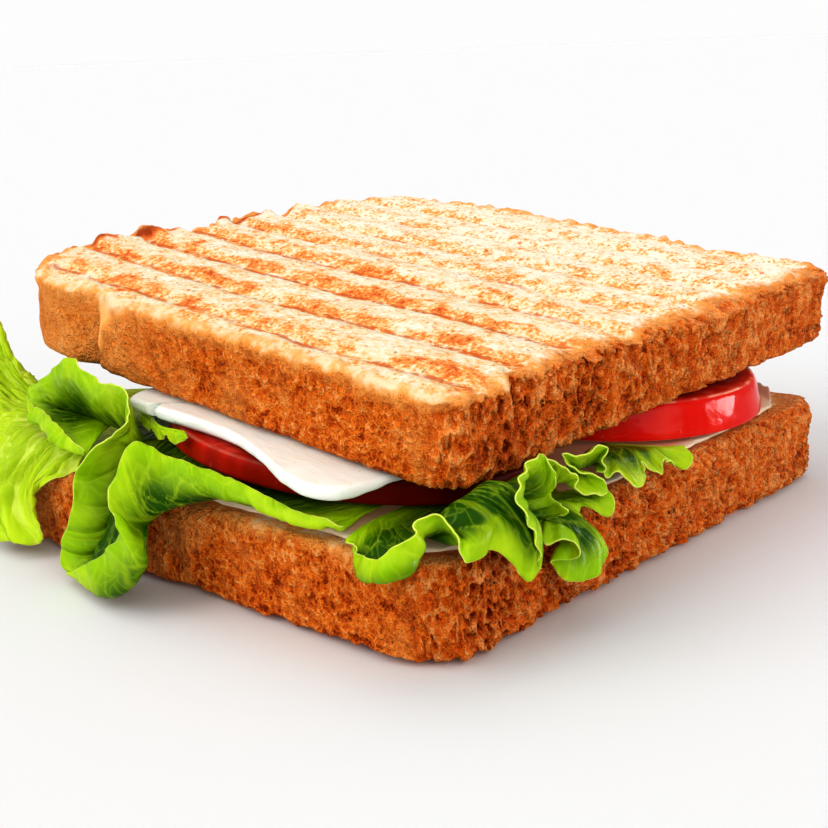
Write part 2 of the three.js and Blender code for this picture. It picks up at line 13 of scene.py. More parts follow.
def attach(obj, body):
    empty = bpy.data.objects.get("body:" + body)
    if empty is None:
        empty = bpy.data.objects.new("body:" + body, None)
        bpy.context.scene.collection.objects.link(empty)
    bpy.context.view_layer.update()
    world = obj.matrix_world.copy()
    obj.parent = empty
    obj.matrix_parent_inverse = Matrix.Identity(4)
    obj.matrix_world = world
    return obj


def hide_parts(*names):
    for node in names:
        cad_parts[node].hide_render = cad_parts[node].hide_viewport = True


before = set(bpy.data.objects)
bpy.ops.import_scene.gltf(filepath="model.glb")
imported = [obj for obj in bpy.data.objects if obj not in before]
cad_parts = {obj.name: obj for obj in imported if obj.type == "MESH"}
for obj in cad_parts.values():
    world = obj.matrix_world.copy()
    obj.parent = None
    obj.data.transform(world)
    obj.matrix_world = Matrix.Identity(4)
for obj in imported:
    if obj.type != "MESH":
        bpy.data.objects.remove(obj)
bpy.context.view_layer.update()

bl_info = {
    "name": "Turkey Sandwich",
    "version": (1, 0, 0),
    "blender": (4, 5, 0),
    "location": "View3D > Sidebar > Sandwich",
    "description": "Builds a toasted turkey sandwich and the studio that shows it",
    "category": "Object",
}

# The picture is shown with this gamma, which deepens its shadows.
PICTURE_GAMMA = 0.8

# Lengths in this file are millimetres unless they say otherwise. Blender works in metres.
MM = 0.001

# Corner radii of the slices, at crown front, base front, base back and crown back.
TOP_CORNERS = (21, 5, 5, 23)
BOTTOM_CORNERS = (14, 9, 5, 20)

# The top slice lies aslant on the filling.
TOP_PLACE = np.array((-2.1, 6.5, 27.7))
TOP_TILT = (0.8, 6.0)

# Where the outline of a slice is pressed in: x, y, depth, width.
TOP_DENTS = ((-23, -51.7, 2, 3.5), (28, 51.7, 2, 4), (-50.5, -9, 4, 3.5), (-50.5, 14, 1.5, 3))
BOTTOM_DENTS = ((10, -52, 1, 6),)

# The crown overhangs the front of the top slice at a seam, and the crust of the base side is slit near
# its front corner.
SEAM_PLACE = -22.5
SLIT_PLACE = -40.9

# The radius of a slice's edges, and the height and width of the crust's broad unevenness.
CRUST_EDGE = 1.3
CRUST_RELIEF = 1.1
CRUST_GRAIN = 4.2

# How strongly each groove of the grill is browned, from front to back.
GROOVE_PLACES = (-52, -46.6, -34.85, -23.1, -11.35, 0.4, 12.15, 23.9, 35.65, 47.4)
GROOVE_BROWNING = (0.7, 0.8, 1.0, 1.0, 0.95, 0.7, 0.55, 0.45, 0.35, 0.35)

# The air left between layers that lie on each other.
GAP = 0.35

# Blocks go from -1 to 1 each way. A point beyond this value counts as lying on their outer side.
OUTERMOST = 0.9999

# Patterns are shifted by this part of a metre, because some show their grid where they start.
PATTERN_SHIFT = (0.371, 0.523, 0.417)

# A tomato slice: the middle of its underside, its half lengths along x and y, its thickness, its tilt in
# degrees, and how much it narrows upwards.
LEFT_TOMATO = {
    "x": 13.5,
    "y": -27.5,
    "z": 19.29,
    "wide": 31.5,
    "deep": 23.3,
    "thickness": 3.6,
    "tilt": 4.3,
    "taper": 0.6,
}
RIGHT_TOMATO = {
    "x": 27,
    "y": 22,
    "z": 16.8,
    "wide": 25,
    "deep": 25,
    "thickness": 6,
    "tilt": 2,
    "taper": 1.8,
}

# The lower turkey follows the bottom slice, and the upper one has a corner that hangs out at the front.
LOWER_TURKEY_CORNERS = (14, 9, 18, 20)
UPPER_TURKEY_RIM = (
    (39.5, -28), (37, -14), (28, -8.5), (16, -6.5), (4, -7.5), (-6, -11), (-11, -19),
    (-12.5, -29), (-12.6, -38), (-12.4, -45.5), (-11.2, -48.4), (-7, -48.8), (-1, -48.3),
    (5.4, -47.9), (12, -48.4), (20.7, -51.1), (26.8, -53.3), (31.9, -54), (34.8, -52.3),
    (36.5, -47.5), (38, -40),
)

# A leaf runs from its heart, deep in the sandwich, past its root, where it leaves the bread, to its
# ruffled edge. Each row of the edge is a point, then the point where the leaf turns before it, then how
# far it arches up on leaving the bread, and how far it swings to the right there, seen looking outwards.
# A row that gives no turn has it on the straight way out, at the first share below. Halfway to its turn
# a leaf has done only the second share of its climb.
STRAIGHT_TURN = 0.65
SHOULDER_CLIMB = 0.12
LEFT_LEAF = {
    "heart": [[30, -12, 16.8], [8, -4, 17.2], [-6, 16, 18], [-22, 24, 19.5], [-34, 8, 20.5]],
    "root": [
        [33.5, -46, 16.9], [21, -46.5, 17.2], [8, -46.5, 18.2], [2, -46, 19.4],
        [-3, -45.5, 19.9], [-8, -45.5, 20.3], [-12, -45, 20.6], [-15, -44, 20.7],
        [-19, -42, 21.2], [-24, -42, 20.5],
    ],
    "edge": [
        [36, -51.8, 17.8, 35.5, -51.5, 17.2],
        [28, -52.5, 18.7, 28.8, -53, 16.9],
        [18.5, -52.8, 20.3, 21, -54, 18],
        [11, -53.2, 21.4, 14.5, -55, 18.7],
        [3, -54.5, 22.6, 8.5, -56, 17.5],
        [-1, -56.5, 24.4, 4.8, -57, 15.6],
        [-2, -59.5, 20, 2.5, -57.5, 14, -1, 2],
        [-1.2, -62, 17, 0.8, -58.3, 11.8, -2, 4],
        [0.3, -61.5, 14, 3.5, -60, 10.6, -2.5, 5.5],
        [-0.7, -61, 11.3, 5, -61, 8.5, -1.9, 6.5],
        [-4.5, -60.5, 8.2, 3, -62, 5, -1.8, 5.5],
        [-9.5, -60.5, 5.3, -4.5, -62, 1.9, -2.3, 3],
        [-17.5, -59.5, 1.8, -13, -59, 2.8, -2.5],
        [-17.4, -59.5, 6.5, -12.5, -57.5, 4.5, -3.3],
        [-15, -59.5, 10, -11, -56.5, 7.5, -2.8],
        [-13.6, -59.5, 13.6, -10.5, -55.5, 11.5, -2.4],
        [-13.4, -58.5, 18, -10.5, -54, 16.5, -1.5],
        [-11, -56.5, 21.5, -10, -52.5, 21],
        [-6.2, -54.5, 24.8, -8, -52, 23.5],
        [-6.6, -52.2, 28.4, -9, -50.5, 26],
        [-9.8, -51.5, 30.4, -11.5, -50, 27],
        [-14.5, -50.5, 29.8, -14.5, -50, 26.5],
        [-20, -49.5, 30.4, -19, -50, 26.5],
        [-25.4, -48.5, 32.2, -26, -49.5, 29],
        [-34.3, -47.5, 28.2, -32, -48, 25.5],
        [-41.5, -47, 24.2, -38, -48, 23],
        [-37, -49.3, 23, -36, -50.5, 21.3],
        [-30.8, -51, 23.2, -30, -52.5, 21],
        [-22.6, -53.5, 22, -22.5, -54.8, 19.8],
        [-15.5, -55, 20.3, -16, -54.5, 18.8],
    ],
}
FAR_LEAF = {
    "heart": [[-14, -10, 17], [-18, -4, 17], [-22, 2, 17.5]],
    "root": [
        [-22, -46, 17], [-30, -45.5, 17.2], [-38, -42, 17.5], [-46, -36, 18],
        [-49, -28, 19],
    ],
    "edge": [
        [-23, -52.5, 14.8, -22.5, -50.5, 16.6, 0],
        [-29.5, -53.5, 11.2, -27.5, -52.5, 14.5, 0.5],
        [-31.8, -54.5, 8.7, -31, -54, 12.5, 1],
        [-29.5, -55.3, 6, -32.5, -55, 10, 1.5],
        [-27, -56.5, 3, -33.5, -55.5, 8, 1.5],
        [-33, -57.5, 1.4, -36.5, -56.5, 8, 1.5],
        [-37.4, -57.5, 1, -39.5, -56, 8.5, 1],
        [-42, -57, 3, -42.5, -54.5, 9.5, 1],
        [-48.7, -55, 5.5, -47.5, -52.5, 11.5, 1],
        [-54, -53, 9.4, -52.5, -49.5, 14, 0.5],
        [-62, -50, 12, -59, -46.5, 15.5, 0.5],
        [-70, -46, 15, -65, -43, 18],
        [-77, -42, 20, -69.5, -40, 21],
        [-79, -39, 26, -70, -38, 24],
        [-75, -37, 32, -67, -37, 26],
        [-68, -36, 34, -63.5, -36.5, 26],
        [-64, -35.9, 27.5, -60.5, -36, 23.5],
        [-60, -36, 21.5, -57.5, -35, 20.8],
        [-55.5, -33.5, 19, -53.5, -32, 19.2],
    ],
}
FRONT_LEAF = {
    "heart": [[34, -20, 16.6], [40, -18, 16.3], [43, -16, 16.2]],
    "root": [
        [35.5, -46, 16.6], [43, -45.5, 16.5], [46.5, -42, 16.2], [47.4, -34, 16.2],
        [47.6, -22, 16.2],
    ],
    "edge": [
        [36.9, -52.7, 15.3, 36.5, -51.8, 16],
        [42.8, -55.7, 16.6, 41.6, -55.7, 13],
        [46.4, -57, 17.5, 47.5, -57.1, 14.6],
        [48.2, -56.2, 18.8, 49.7, -55.4, 15.3],
        [49.5, -54.3, 19.9, 50.5, -53.5, 17.5],
        [48.5, -52.6, 20.8, 48.3, -50.5, 18.5],
        [49, -50.2, 21.3, 48.5, -48.5, 19],
        [51.4, -49.5, 20.3, 50, -47.8, 18.5],
        [52.8, -50, 18.7, 51.5, -48, 17.5],
        [53.5, -49.8, 15.8, 53, -48, 18, 2],
        [54.3, -48.1, 15.4, 53.5, -46, 18.8, 3.5],
        [53.9, -44.9, 15.7, 53.5, -43.5, 19.5, 4.2],
        [55, -42.3, 13.4, 55, -41.5, 18.5, 5],
        [56, -40.4, 10.6, 56.3, -40, 16.5, 6],
        [57, -38.6, 12.1, 56.5, -38.5, 17.5, 6.5],
        [58, -39.9, 15.7, 56.3, -38.8, 19, 6.5],
        [58, -42, 19.9, 55.5, -39.5, 20.8, 6.3],
        [57, -42.6, 23.1, 54.8, -39.3, 22, 6],
        [55, -38.7, 24.7, 53.5, -36.8, 23.2, 4.5],
        [54, -34.1, 25.9, 53, -33.5, 23.3, 4],
        [55, -32.1, 22.4, 53, -32, 20, 3],
        [53, -30.3, 19.1, 52, -31, 18.3, 1.5],
        [57, -32.4, 18.3, 54, -31.5, 17],
        [52.5, -30.8, 15.2, 52, -30.5, 16],
        [55, -35, 13.8, 53, -31.5, 15.5],
        [57, -31.8, 13.8, 54.5, -30.5, 15],
        [57, -30.5, 10.9, 55, -29.5, 13.5],
        [53.5, -31.2, 9.4, 53.3, -29.5, 12.5],
        [55, -30.7, 7.2, 54.5, -28.5, 11],
        [57, -25.9, 7.2, 55.5, -25.5, 11.5],
        [56, -22.5, 9.6, 54.5, -23.5, 12.5],
        [52.8, -23.6, 11.2, 52.6, -24, 14],
        [53, -23.3, 15.2, 52, -23.5, 16],
        [56, -21.3, 13.7, 54, -22, 16],
        [56, -19.8, 16.3, 53.5, -21, 16.8],
        [53, -20.1, 16.9, 51.5, -21.3, 16.8],
        [50.6, -21.8, 17, 49.5, -22, 16.8],
    ],
}
RIGHT_LEAF = {
    "heart": [[45.5, -13, 18.8], [44, -8, 18.3], [43, -4, 18]],
    "root": [
        [49.4, -27, 19.2], [49.3, -19, 19.5], [49, -9, 19], [50.2, 1, 17.4],
    ],
    "edge": [
        [53, -31.5, 24.6], [53.6, -28.8, 22.7], [54.3, -26, 20.2], [54, -26.4, 18.9],
        [55, -23.8, 17.6], [55.5, -20.8, 17.2], [54.6, -20.8, 18.8], [52.6, -24.2, 20.6],
        [52, -27, 23.7], [53, -23.8, 22.8], [54, -20.9, 23.6], [54.4, -19.4, 23],
        [54, -20.2, 21.4], [54, -19.9, 20], [52.8, -19.9, 19.4], [52.6, -18.4, 19],
        [53, -17.6, 18], [54, -16.2, 18.4], [55.5, -15.1, 16.6], [56, -13.5, 16.1],
        [55, -10.9, 16.6], [53, -8.8, 18], [55.5, -7.6, 16.1], [54, -4.5, 17.3],
        [53.5, -0.5, 15.5], [55, 0.3, 14.8], [55.3, 1.8, 16.3], [53.5, 2.4, 17.8],
    ],
}
UPPER_LEAF = {
    "heart": [
        [-15, -43.4, 24.9], [-11.4, -46.2, 24.6], [-8.8, -47.0, 24.5], [-6.8, -48.0, 24.4],
        [-4.6, -48.9, 24.2], [-2.4, -49.4, 24.2], [0.2, -50.0, 24.5], [2.6, -49.9, 24.5],
    ],
    "root": [
        [-14.6, -44.2, 24.6], [-11.2, -46.9, 24.2], [-8.6, -47.5, 24], [-6.6, -48.5, 24],
        [-4.4, -49.2, 23.7], [-2.2, -49.7, 23.8], [0.5, -50.3, 24.1], [3, -50.1, 24.2],
    ],
    "edge": [
        [-14.2, -45.2, 24], [-12, -46.9, 23.3], [-9.4, -47.9, 22.9], [-7.6, -48.4, 22.6],
        [-6.3, -48.9, 23.4], [-5.4, -49.2, 22.8], [-4, -49.6, 22.1], [-2.6, -49.7, 22.3],
        [-1.4, -50, 23.3], [-0.2, -50.4, 22.9], [1.3, -50.9, 22.5], [2.8, -50.7, 23.2],
        [4, -50.4, 23.8],
    ],
}

# The back leaf ruffles round the crown side and the back. Its edge swings in and out and up and down.
BACK_LEAF = {
    "stations": 30,
    "inset": 7,
    "reach": 4.5,
    "swing": 2.6,
    "height": 22.4,
    "rise": 4.8,
    "lean": 0.09,
    "waves": 7,
    "start_angle": 200,
    "sweep": 114,
}

# The camera's place in metres, and its angles in degrees.
CAMERA_PLACE = (0.154193, -0.169289, 0.076103)
CAMERA_HEADING = 41.972
CAMERA_DIP = 14.857
CAMERA_ROLL = -2.385
CAMERA_LENS = 59.85


def paint(red, green, blue):
    """The linear colour that shows in full light as this one, given in steps from 0 to 255."""
    steps = [value / 255 for value in (red, green, blue)]
    linear = [step / 12.92 if step <= 0.04045 else ((step + 0.055) / 1.055) ** 2.4 for step in steps]
    return tuple(value**PICTURE_GAMMA for value in linear)


# Small sums for uneven shapes.


def smoothstep(value, low, high):
    share = np.clip((value - low) / (high - low), 0, 1)
    return share * share * (3 - 2 * share)


def speck(i, j, k):
    """A repeatable value from 0 to 1 for each whole-number place."""
    wave = np.sin(i * 127.1 + j * 311.7 + k * 74.7) * 43758.5453
    return wave - np.floor(wave)


def crumb(x, y, z):
    """Smooth unevenness from 0 to 1, blended between the specks around each place."""
    x, y, z = np.broadcast_arrays(np.asarray(x, float), y, z)
    corner = [np.floor(value) for value in (x, y, z)]
    shares = [value - low for value, low in zip((x, y, z), corner)]
    u, v, w = [share * share * (3 - 2 * share) for share in shares]
    total = np.zeros(x.shape)
    for di, wi in ((0, 1 - u), (1, u)):
        for dj, wj in ((0, 1 - v), (1, v)):
            for dk, wk in ((0, 1 - w), (1, w)):
                total += wi * wj * wk * speck(corner[0] + di, corner[1] + dj, corner[2] + dk)
    return total


def foam(x, y, z):
    """A foam of uneven cells: 0 on the walls between them, rising to about 1 inside each."""
    x, y, z = np.broadcast_arrays(np.asarray(x, float), y, z)
    low = [np.floor(value) for value in (x, y, z)]
    nearest = np.full(x.shape, 9.0)
    second = np.full(x.shape, 9.0)
    for offset in itertools.product((-1, 0, 1), repeat=3):
        i, j, k = (value + step for value, step in zip(low, offset))
        away = (i + speck(i, j, k) - x) ** 2
        away += (j + speck(i + 57, j + 19, k + 3) - y) ** 2
        away += (k + speck(i + 5, j + 71, k + 37) - z) ** 2
        away = np.sqrt(away)
        second = np.minimum(second, np.maximum(nearest, away))
        nearest = np.minimum(nearest, away)
    return second - nearest


def rounded_reach(x, y, half_width, half_depth, corners):
    """How far a rectangle with rounded corners reaches from its middle in the direction (x, y)."""
    length = np.maximum(np.hypot(x, y), 1e-9)
    dx = x / length
    dy = y / length
    reach = np.minimum(
        half_width / np.maximum(np.abs(dx), 1e-9), half_depth / np.maximum(np.abs(dy), 1e-9)
    )
    quarter = np.where(dy > 0, 2, 0) + np.where((dx > 0) == (dy > 0), 0, 1)
    radius = np.asarray(corners, float)[quarter]
    cx = np.sign(dx) * (half_width - radius)
    cy = np.sign(dy) * (half_depth - radius)
    straight = (reach * np.abs(dx) <= np.abs(cx)) | (reach * np.abs(dy) <= np.abs(cy))
    along = dx * cx + dy * cy
    turned = along + np.sqrt(np.maximum(along * along - cx * cx - cy * cy + radius * radius, 0))
    return np.where(straight, reach, turned)


def smooth_line(points, steps, closed=False):
    """Places at steps from 0 to 1 along a smooth line through the points."""
    points = np.asarray(points, float)
    if closed:
        padded = np.concatenate([points[..., -1:, :], points, points[..., :2, :]], axis=-2)
        spans = points.shape[-2]
    else:
        before = 2 * points[..., :1, :] - points[..., 1:2, :]
        after = 2 * points[..., -1:, :] - points[..., -2:-1, :]
        padded = np.concatenate([before, points, after], axis=-2)
        spans = points.shape[-2] - 1
    place = np.asarray(steps, float) * spans
    whole = np.clip(np.floor(place), 0, spans - 1).astype(int)
    share = (place - whole)[:, None]
    p0, p1, p2, p3 = (padded[..., whole + k, :] for k in range(4))
    g0, g1, g2 = (
        np.maximum(np.linalg.norm(b - a, axis=-1, keepdims=True), 1e-6) ** 0.5
        for a, b in ((p0, p1), (p1, p2), (p2, p3))
    )
    leave = ((p1 - p0) / g0 - (p2 - p0) / (g0 + g1) + (p2 - p1) / g1) * g1
    arrive = ((p2 - p1) / g1 - (p3 - p1) / (g1 + g2) + (p3 - p2) / g2) * g1
    bend = -3 * p1 + 3 * p2 - 2 * leave - arrive
    twist = 2 * p1 - 2 * p2 + leave + arrive
    return p1 + leave * share + bend * share**2 + twist * share**3


# Work on meshes.


def to_mesh(bm, name):
    mesh = bpy.data.meshes.new(name)
    bm.to_mesh(mesh)
    bm.free()
    return mesh


def places_of(mesh):
    places = np.empty(len(mesh.vertices) * 3, np.float32)
    mesh.vertices.foreach_get("co", places)
    return places.reshape(-1, 3).astype(float)


def set_places(mesh, places):
    mesh.vertices.foreach_set("co", (places * MM).astype(np.float32).ravel())
    mesh.update()


def write_attributes(mesh, **notes):
    """Notes values at each point of the mesh, which its finish reads by name."""
    for name, values in notes.items():
        layer = mesh.attributes.new(name, "FLOAT", "POINT")
        layer.data.foreach_set("value", np.asarray(values, np.float32).ravel())


def write_uv(mesh, across, along):
    """A UV map from a pair of values at each point of the mesh."""
    corners = np.empty(len(mesh.loops), np.int32)
    mesh.loops.foreach_get("vertex_index", corners)
    layer = mesh.uv_layers.new(name="UVMap")
    pairs = np.stack([across[corners], along[corners]], axis=1)
    layer.data.foreach_set("uv", pairs.astype(np.float32).ravel())


def add_piece(name, mesh, material, node):
    """A finished piece that rides on the sandwich and takes the place of one solid."""
    piece = bpy.data.objects.new(name, mesh)
    bpy.context.collection.objects.link(piece)
    mesh.materials.append(material)
    mesh.shade_smooth()
    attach(piece, "root")
    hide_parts(node)
    return piece


class Nodes:
    """The nodes of a material or of the surroundings, added one call at a time."""

    def __init__(self, owner):
        owner.use_nodes = True
        self.owner = owner
        self.tree = owner.node_tree
        self.tree.nodes.clear()

    def put(self, socket, value):
        """Links a socket to another one, or gives it a fixed value."""
        if isinstance(value, bpy.types.NodeSocket):
            self.tree.links.new(value, socket)
        elif hasattr(value, "__len__") and len(value) == 3 and socket.type == "RGBA":
            socket.default_value = (*value, 1)
        else:
            socket.default_value = value

    def add(self, kind, inputs=None, **settings):
        node = self.tree.nodes.new(kind)
        for setting, value in settings.items():
            setattr(node, setting, value)
        for socket, value in (inputs or {}).items():
            self.put(node.inputs[socket], value)
        return node


class Finish(Nodes):
    """A material, with the patterns and blends that the finishes share."""

    def __init__(self, name):
        super().__init__(bpy.data.materials.new(name))
        self.here = self.add("ShaderNodeTexCoord").outputs["Object"]
        shifted = {"Vector": self.here, "Location": PATTERN_SHIFT}
        self.place = self.add("ShaderNodeMapping", shifted).outputs[0]

    def attribute(self, name):
        return self.add("ShaderNodeAttribute", attribute_name=name).outputs["Fac"]

    def coordinate(self, axis):
        """The distance from the sandwich's middle along an axis, in metres."""
        return self.add("ShaderNodeSeparateXYZ", {0: self.here}).outputs[axis]

    def math(self, operation, first, second=0.0):
        return self.add("ShaderNodeMath", {0: first, 1: second}, operation=operation).outputs[0]

    def product(self, first, second):
        return self.math("MULTIPLY", first, second)

    def total(self, *terms):
        """The sum of values, each given with its weight."""
        result = 0.0
        for value, weight in terms:
            sockets = {0: value, 1: weight, 2: result}
            result = self.add("ShaderNodeMath", sockets, operation="MULTIPLY_ADD").outputs[0]
        return result

    def range(self, value, low, high, start=0.0, end=1.0):
        sockets = {"Value": value, "From Min": low, "From Max": high, "To Min": start, "To Max": end}
        return self.add("ShaderNodeMapRange", sockets, interpolation_type="SMOOTHSTEP").outputs[0]

    def between(self, share, first, second):
        """A value that goes from the first to the second as the share goes from 0 to 1."""
        return self.add("ShaderNodeMix", {0: share, 2: first, 3: second}, data_type="FLOAT").outputs[0]

    def mix(self, share, first, second, blend="MIX"):
        """A colour that goes from the first to the second as the share goes from 0 to 1."""
        sockets = {0: share, 6: first, 7: second}
        return self.add("ShaderNodeMix", sockets, data_type="RGBA", blend_type=blend).outputs[2]

    def tones(self, value, first, *steps):
        """A colour that changes as the value rises: each step has a start, an end and a colour."""
        shade = first
        for low, high, following in steps:
            shade = self.mix(self.range(value, low, high), shade, following)
        return shade

    def noise(self, scale, detail, vector=None, roughness=0.5):
        sockets = {
            "Vector": vector or self.place,
            "Scale": scale,
            "Detail": detail,
            "Roughness": roughness,
        }
        return self.add("ShaderNodeTexNoise", sockets).outputs[0]

    def patches(self, scale, detail, low, high, strength=1.0, vector=None):
        """Soft patches that start where a noise passes the low value and are full at the high one."""
        return self.range(self.noise(scale, detail, vector), low, high, 0.0, strength)

    def fibres(self, scale, vector=None):
        """A mat of winding fibres: 1 along the middle of each, falling to 0 between them."""
        away = self.math("ABSOLUTE", self.math("SUBTRACT", self.noise(scale, 2, vector, 0.6), 0.5))
        return self.range(away, 0.0, 0.12, 1.0, 0.0)

    def cells(self, scale, vector=None, feature="DISTANCE_TO_EDGE"):
        sockets = {"Vector": vector or self.place, "Scale": scale}
        return self.add("ShaderNodeTexVoronoi", sockets, feature=feature).outputs["Distance"]

    def dots(self, scale, size, strength):
        """Small round marks, one in every other cell or so."""
        away = self.cells(scale, feature="F1")
        some = self.patches(scale * 0.6, 1, 0.5, 0.56, strength)
        return self.product(self.range(away, size * 0.6, size * 1.2, 1.0, 0.0), some)

    def stretch(self, x, y, z, vector=None):
        sockets = {0: vector or self.place, 1: (x, y, z)}
        return self.add("ShaderNodeVectorMath", sockets, operation="MULTIPLY").outputs[0]

    def bump(self, height, distance, strength=1.0, normal=None):
        sockets = {"Height": height, "Distance": distance * MM, "Strength": strength}
        if normal:
            sockets["Normal"] = normal
        return self.add("ShaderNodeBump", sockets).outputs[0]

    def surface(self, **sockets):
        """Ends the material with a shader, and returns the material."""
        named = {name.replace("_", " "): value for name, value in sockets.items()}
        shader = self.add("ShaderNodeBsdfPrincipled", named)
        self.add("ShaderNodeOutputMaterial", {"Surface": shader.outputs[0]})
        return self.owner


# Materials.


def toast_face(finish, bread, down, fine, grain):
    """The grilled face: cream, paler towards the back, browned in the grooves and freckled all over."""
    strength = finish.attribute("strength")
    patch = finish.product(finish.range(finish.attribute("patch"), -0.1, 1.0), strength)
    cream = finish.mix(finish.range(finish.coordinate(1), -0.045, 0.045), bread.cream, bread.pale_cream)
    rim_heat = finish.range(down, -4.0, 1.0, 0.0, 0.06)
    blotches = finish.noise(230, 2)
    heat = finish.total((fine, 0.65), (grain, 0.45), (blotches, 0.3), (patch, 0.15), (rim_heat, 1.0))
    face = finish.tones(
        heat,
        bread.pale_crumb,
        (0.58, 0.7, cream),
        (0.73, 0.79, bread.toasted),
        (0.79, 0.84, bread.browned),
        (0.86, 0.91, bread.blot),
        (0.94, 0.98, bread.scorched),
    )
    line = finish.product(finish.range(finish.attribute("line"), 0.9, 1.0), strength)
    broken = finish.range(grain, 0.36, 0.54, 0.05, 0.85)
    face = finish.mix(finish.product(finish.range(line, 0.3, 0.8), broken), face, bread.mark)
    for scale, size, opacity, dot_colour in (
        (700, 0.2, 0.7, bread.fleck),
        (480, 0.2, 0.75, bread.browned),
        (300, 0.15, 0.8, bread.blot),
    ):
        face = finish.mix(finish.dots(scale, size, opacity), face, dot_colour)
    burn = finish.math("ADD", finish.attribute("burn"), grain)
    face = finish.tones(burn, face, (0.9, 1.15, bread.blot), (1.15, 1.4, bread.burnt))
    warm_edge = finish.mix(finish.range(grain, 0.4, 0.6), bread.cream, bread.toasted)
    return finish.tones(down, face, (-1.5, 0.8, warm_edge), (1.5, 5.0, bread.crown_light))


def toast_crust(finish, bread, down, fine, grain, broad):
    """The crust: a mat of fibres over hollows in painted shade, coarse and upright on the base side.

    Its fibres carry painted highlight. Returns its colour and the height of its mat.
    """
    base_side = finish.attribute("base_side")
    upright = finish.stretch(1.0, 1.0, 0.45)
    thick_fibres = finish.between(base_side, finish.fibres(620), finish.fibres(560, upright))
    mat = finish.total((thick_fibres, 0.55), (finish.fibres(1250), 0.45))
    # The tone paints light and shade. It is darker where the hollows sink, as painted shade, and lighter
    # along the fibres of the mat, as painted highlight. The noises give the crust its own uneven tone,
    # and it is a little darker lower down the wall.
    tone = finish.total(
        (mat, 0.3),
        (grain, 0.5),
        (broad, 0.25),
        (finish.attribute("pit"), -0.24),
        (finish.range(down, 1.0, 8.0), -0.04),
        # The base side is a little lighter: painted light for the side turned away from the key light.
        (finish.between(base_side, 0.1, 0.17), 1.0),
    )
    # The darkest steps are painted shade of the hollows, and the lightest is painted highlight on the
    # thin ridges.
    crust = finish.tones(
        tone,
        bread.hole_shade,
        (0.22, 0.3, bread.pit),
        (0.31, 0.39, bread.crust_dark),
        (0.4, 0.48, bread.crust),
        (0.52, 0.6, bread.crust_light),
        (0.61, 0.69, bread.string),
    )
    crown = finish.tones(
        finish.total((fine, 0.35), (grain, 0.35), (broad, 0.3)),
        bread.crown_brown,
        (0.42, 0.5, bread.crown),
        (0.54, 0.64, bread.crown_light),
    )
    tan = finish.product(finish.patches(85, 2, 0.5, 0.68, 0.5), finish.range(base_side, 1.0, 0.0))
    crust = finish.mix(tan, crust, crown)
    smooth_skin = finish.product(finish.math("SUBTRACT", 1.0, finish.attribute("rough")), 0.85)
    crust = finish.mix(smooth_skin, crust, crown)
    ruddy = finish.mix(1.0, crust, bread.ruddy, "MULTIPLY")
    crust = finish.mix(finish.range(base_side, 0.0, 1.0, 0.0, 0.4), crust, ruddy)
    # Small dark dots stand for holes in the crust: painted shade.
    return finish.mix(finish.dots(430, 0.15, 0.6), crust, bread.hole_shade), mat


def toast_finish(name, bread):
    """Grilled bread: a cream face with browned grooves, and a rough orange-brown crust round it."""
    finish = Finish(name)
    down = finish.attribute("down")
    fine = finish.noise(1500, 3, roughness=0.65)
    grain = finish.noise(430, 4, roughness=0.65)
    broad = finish.noise(120, 3)
    face = toast_face(finish, bread, down, fine, grain)
    crust, mat = toast_crust(finish, bread, down, fine, grain, broad)

    # An irregular orange border joins the face to the crust.
    wrap = finish.attribute("wrap")
    edge = finish.total((down, 1.0), (wrap, -1.0), (grain, 6.0), (broad, 5.0), (1.0, -5.5))
    skin = finish.tones(edge, face, (-3.0, 0.4, bread.border), (-0.6, 2.2, crust))
    on_crust = finish.range(edge, -1.5, 1.5)
    crumbs = finish.total((mat, 0.7), (grain, 0.9))
    coarse = finish.bump(finish.between(on_crust, finish.product(grain, 0.7), crumbs), 0.65)
    normal = finish.bump(fine, 0.14, normal=coarse)
    return finish.surface(Base_Color=skin, Roughness=0.65, Specular_IOR_Level=0.06, Normal=normal)


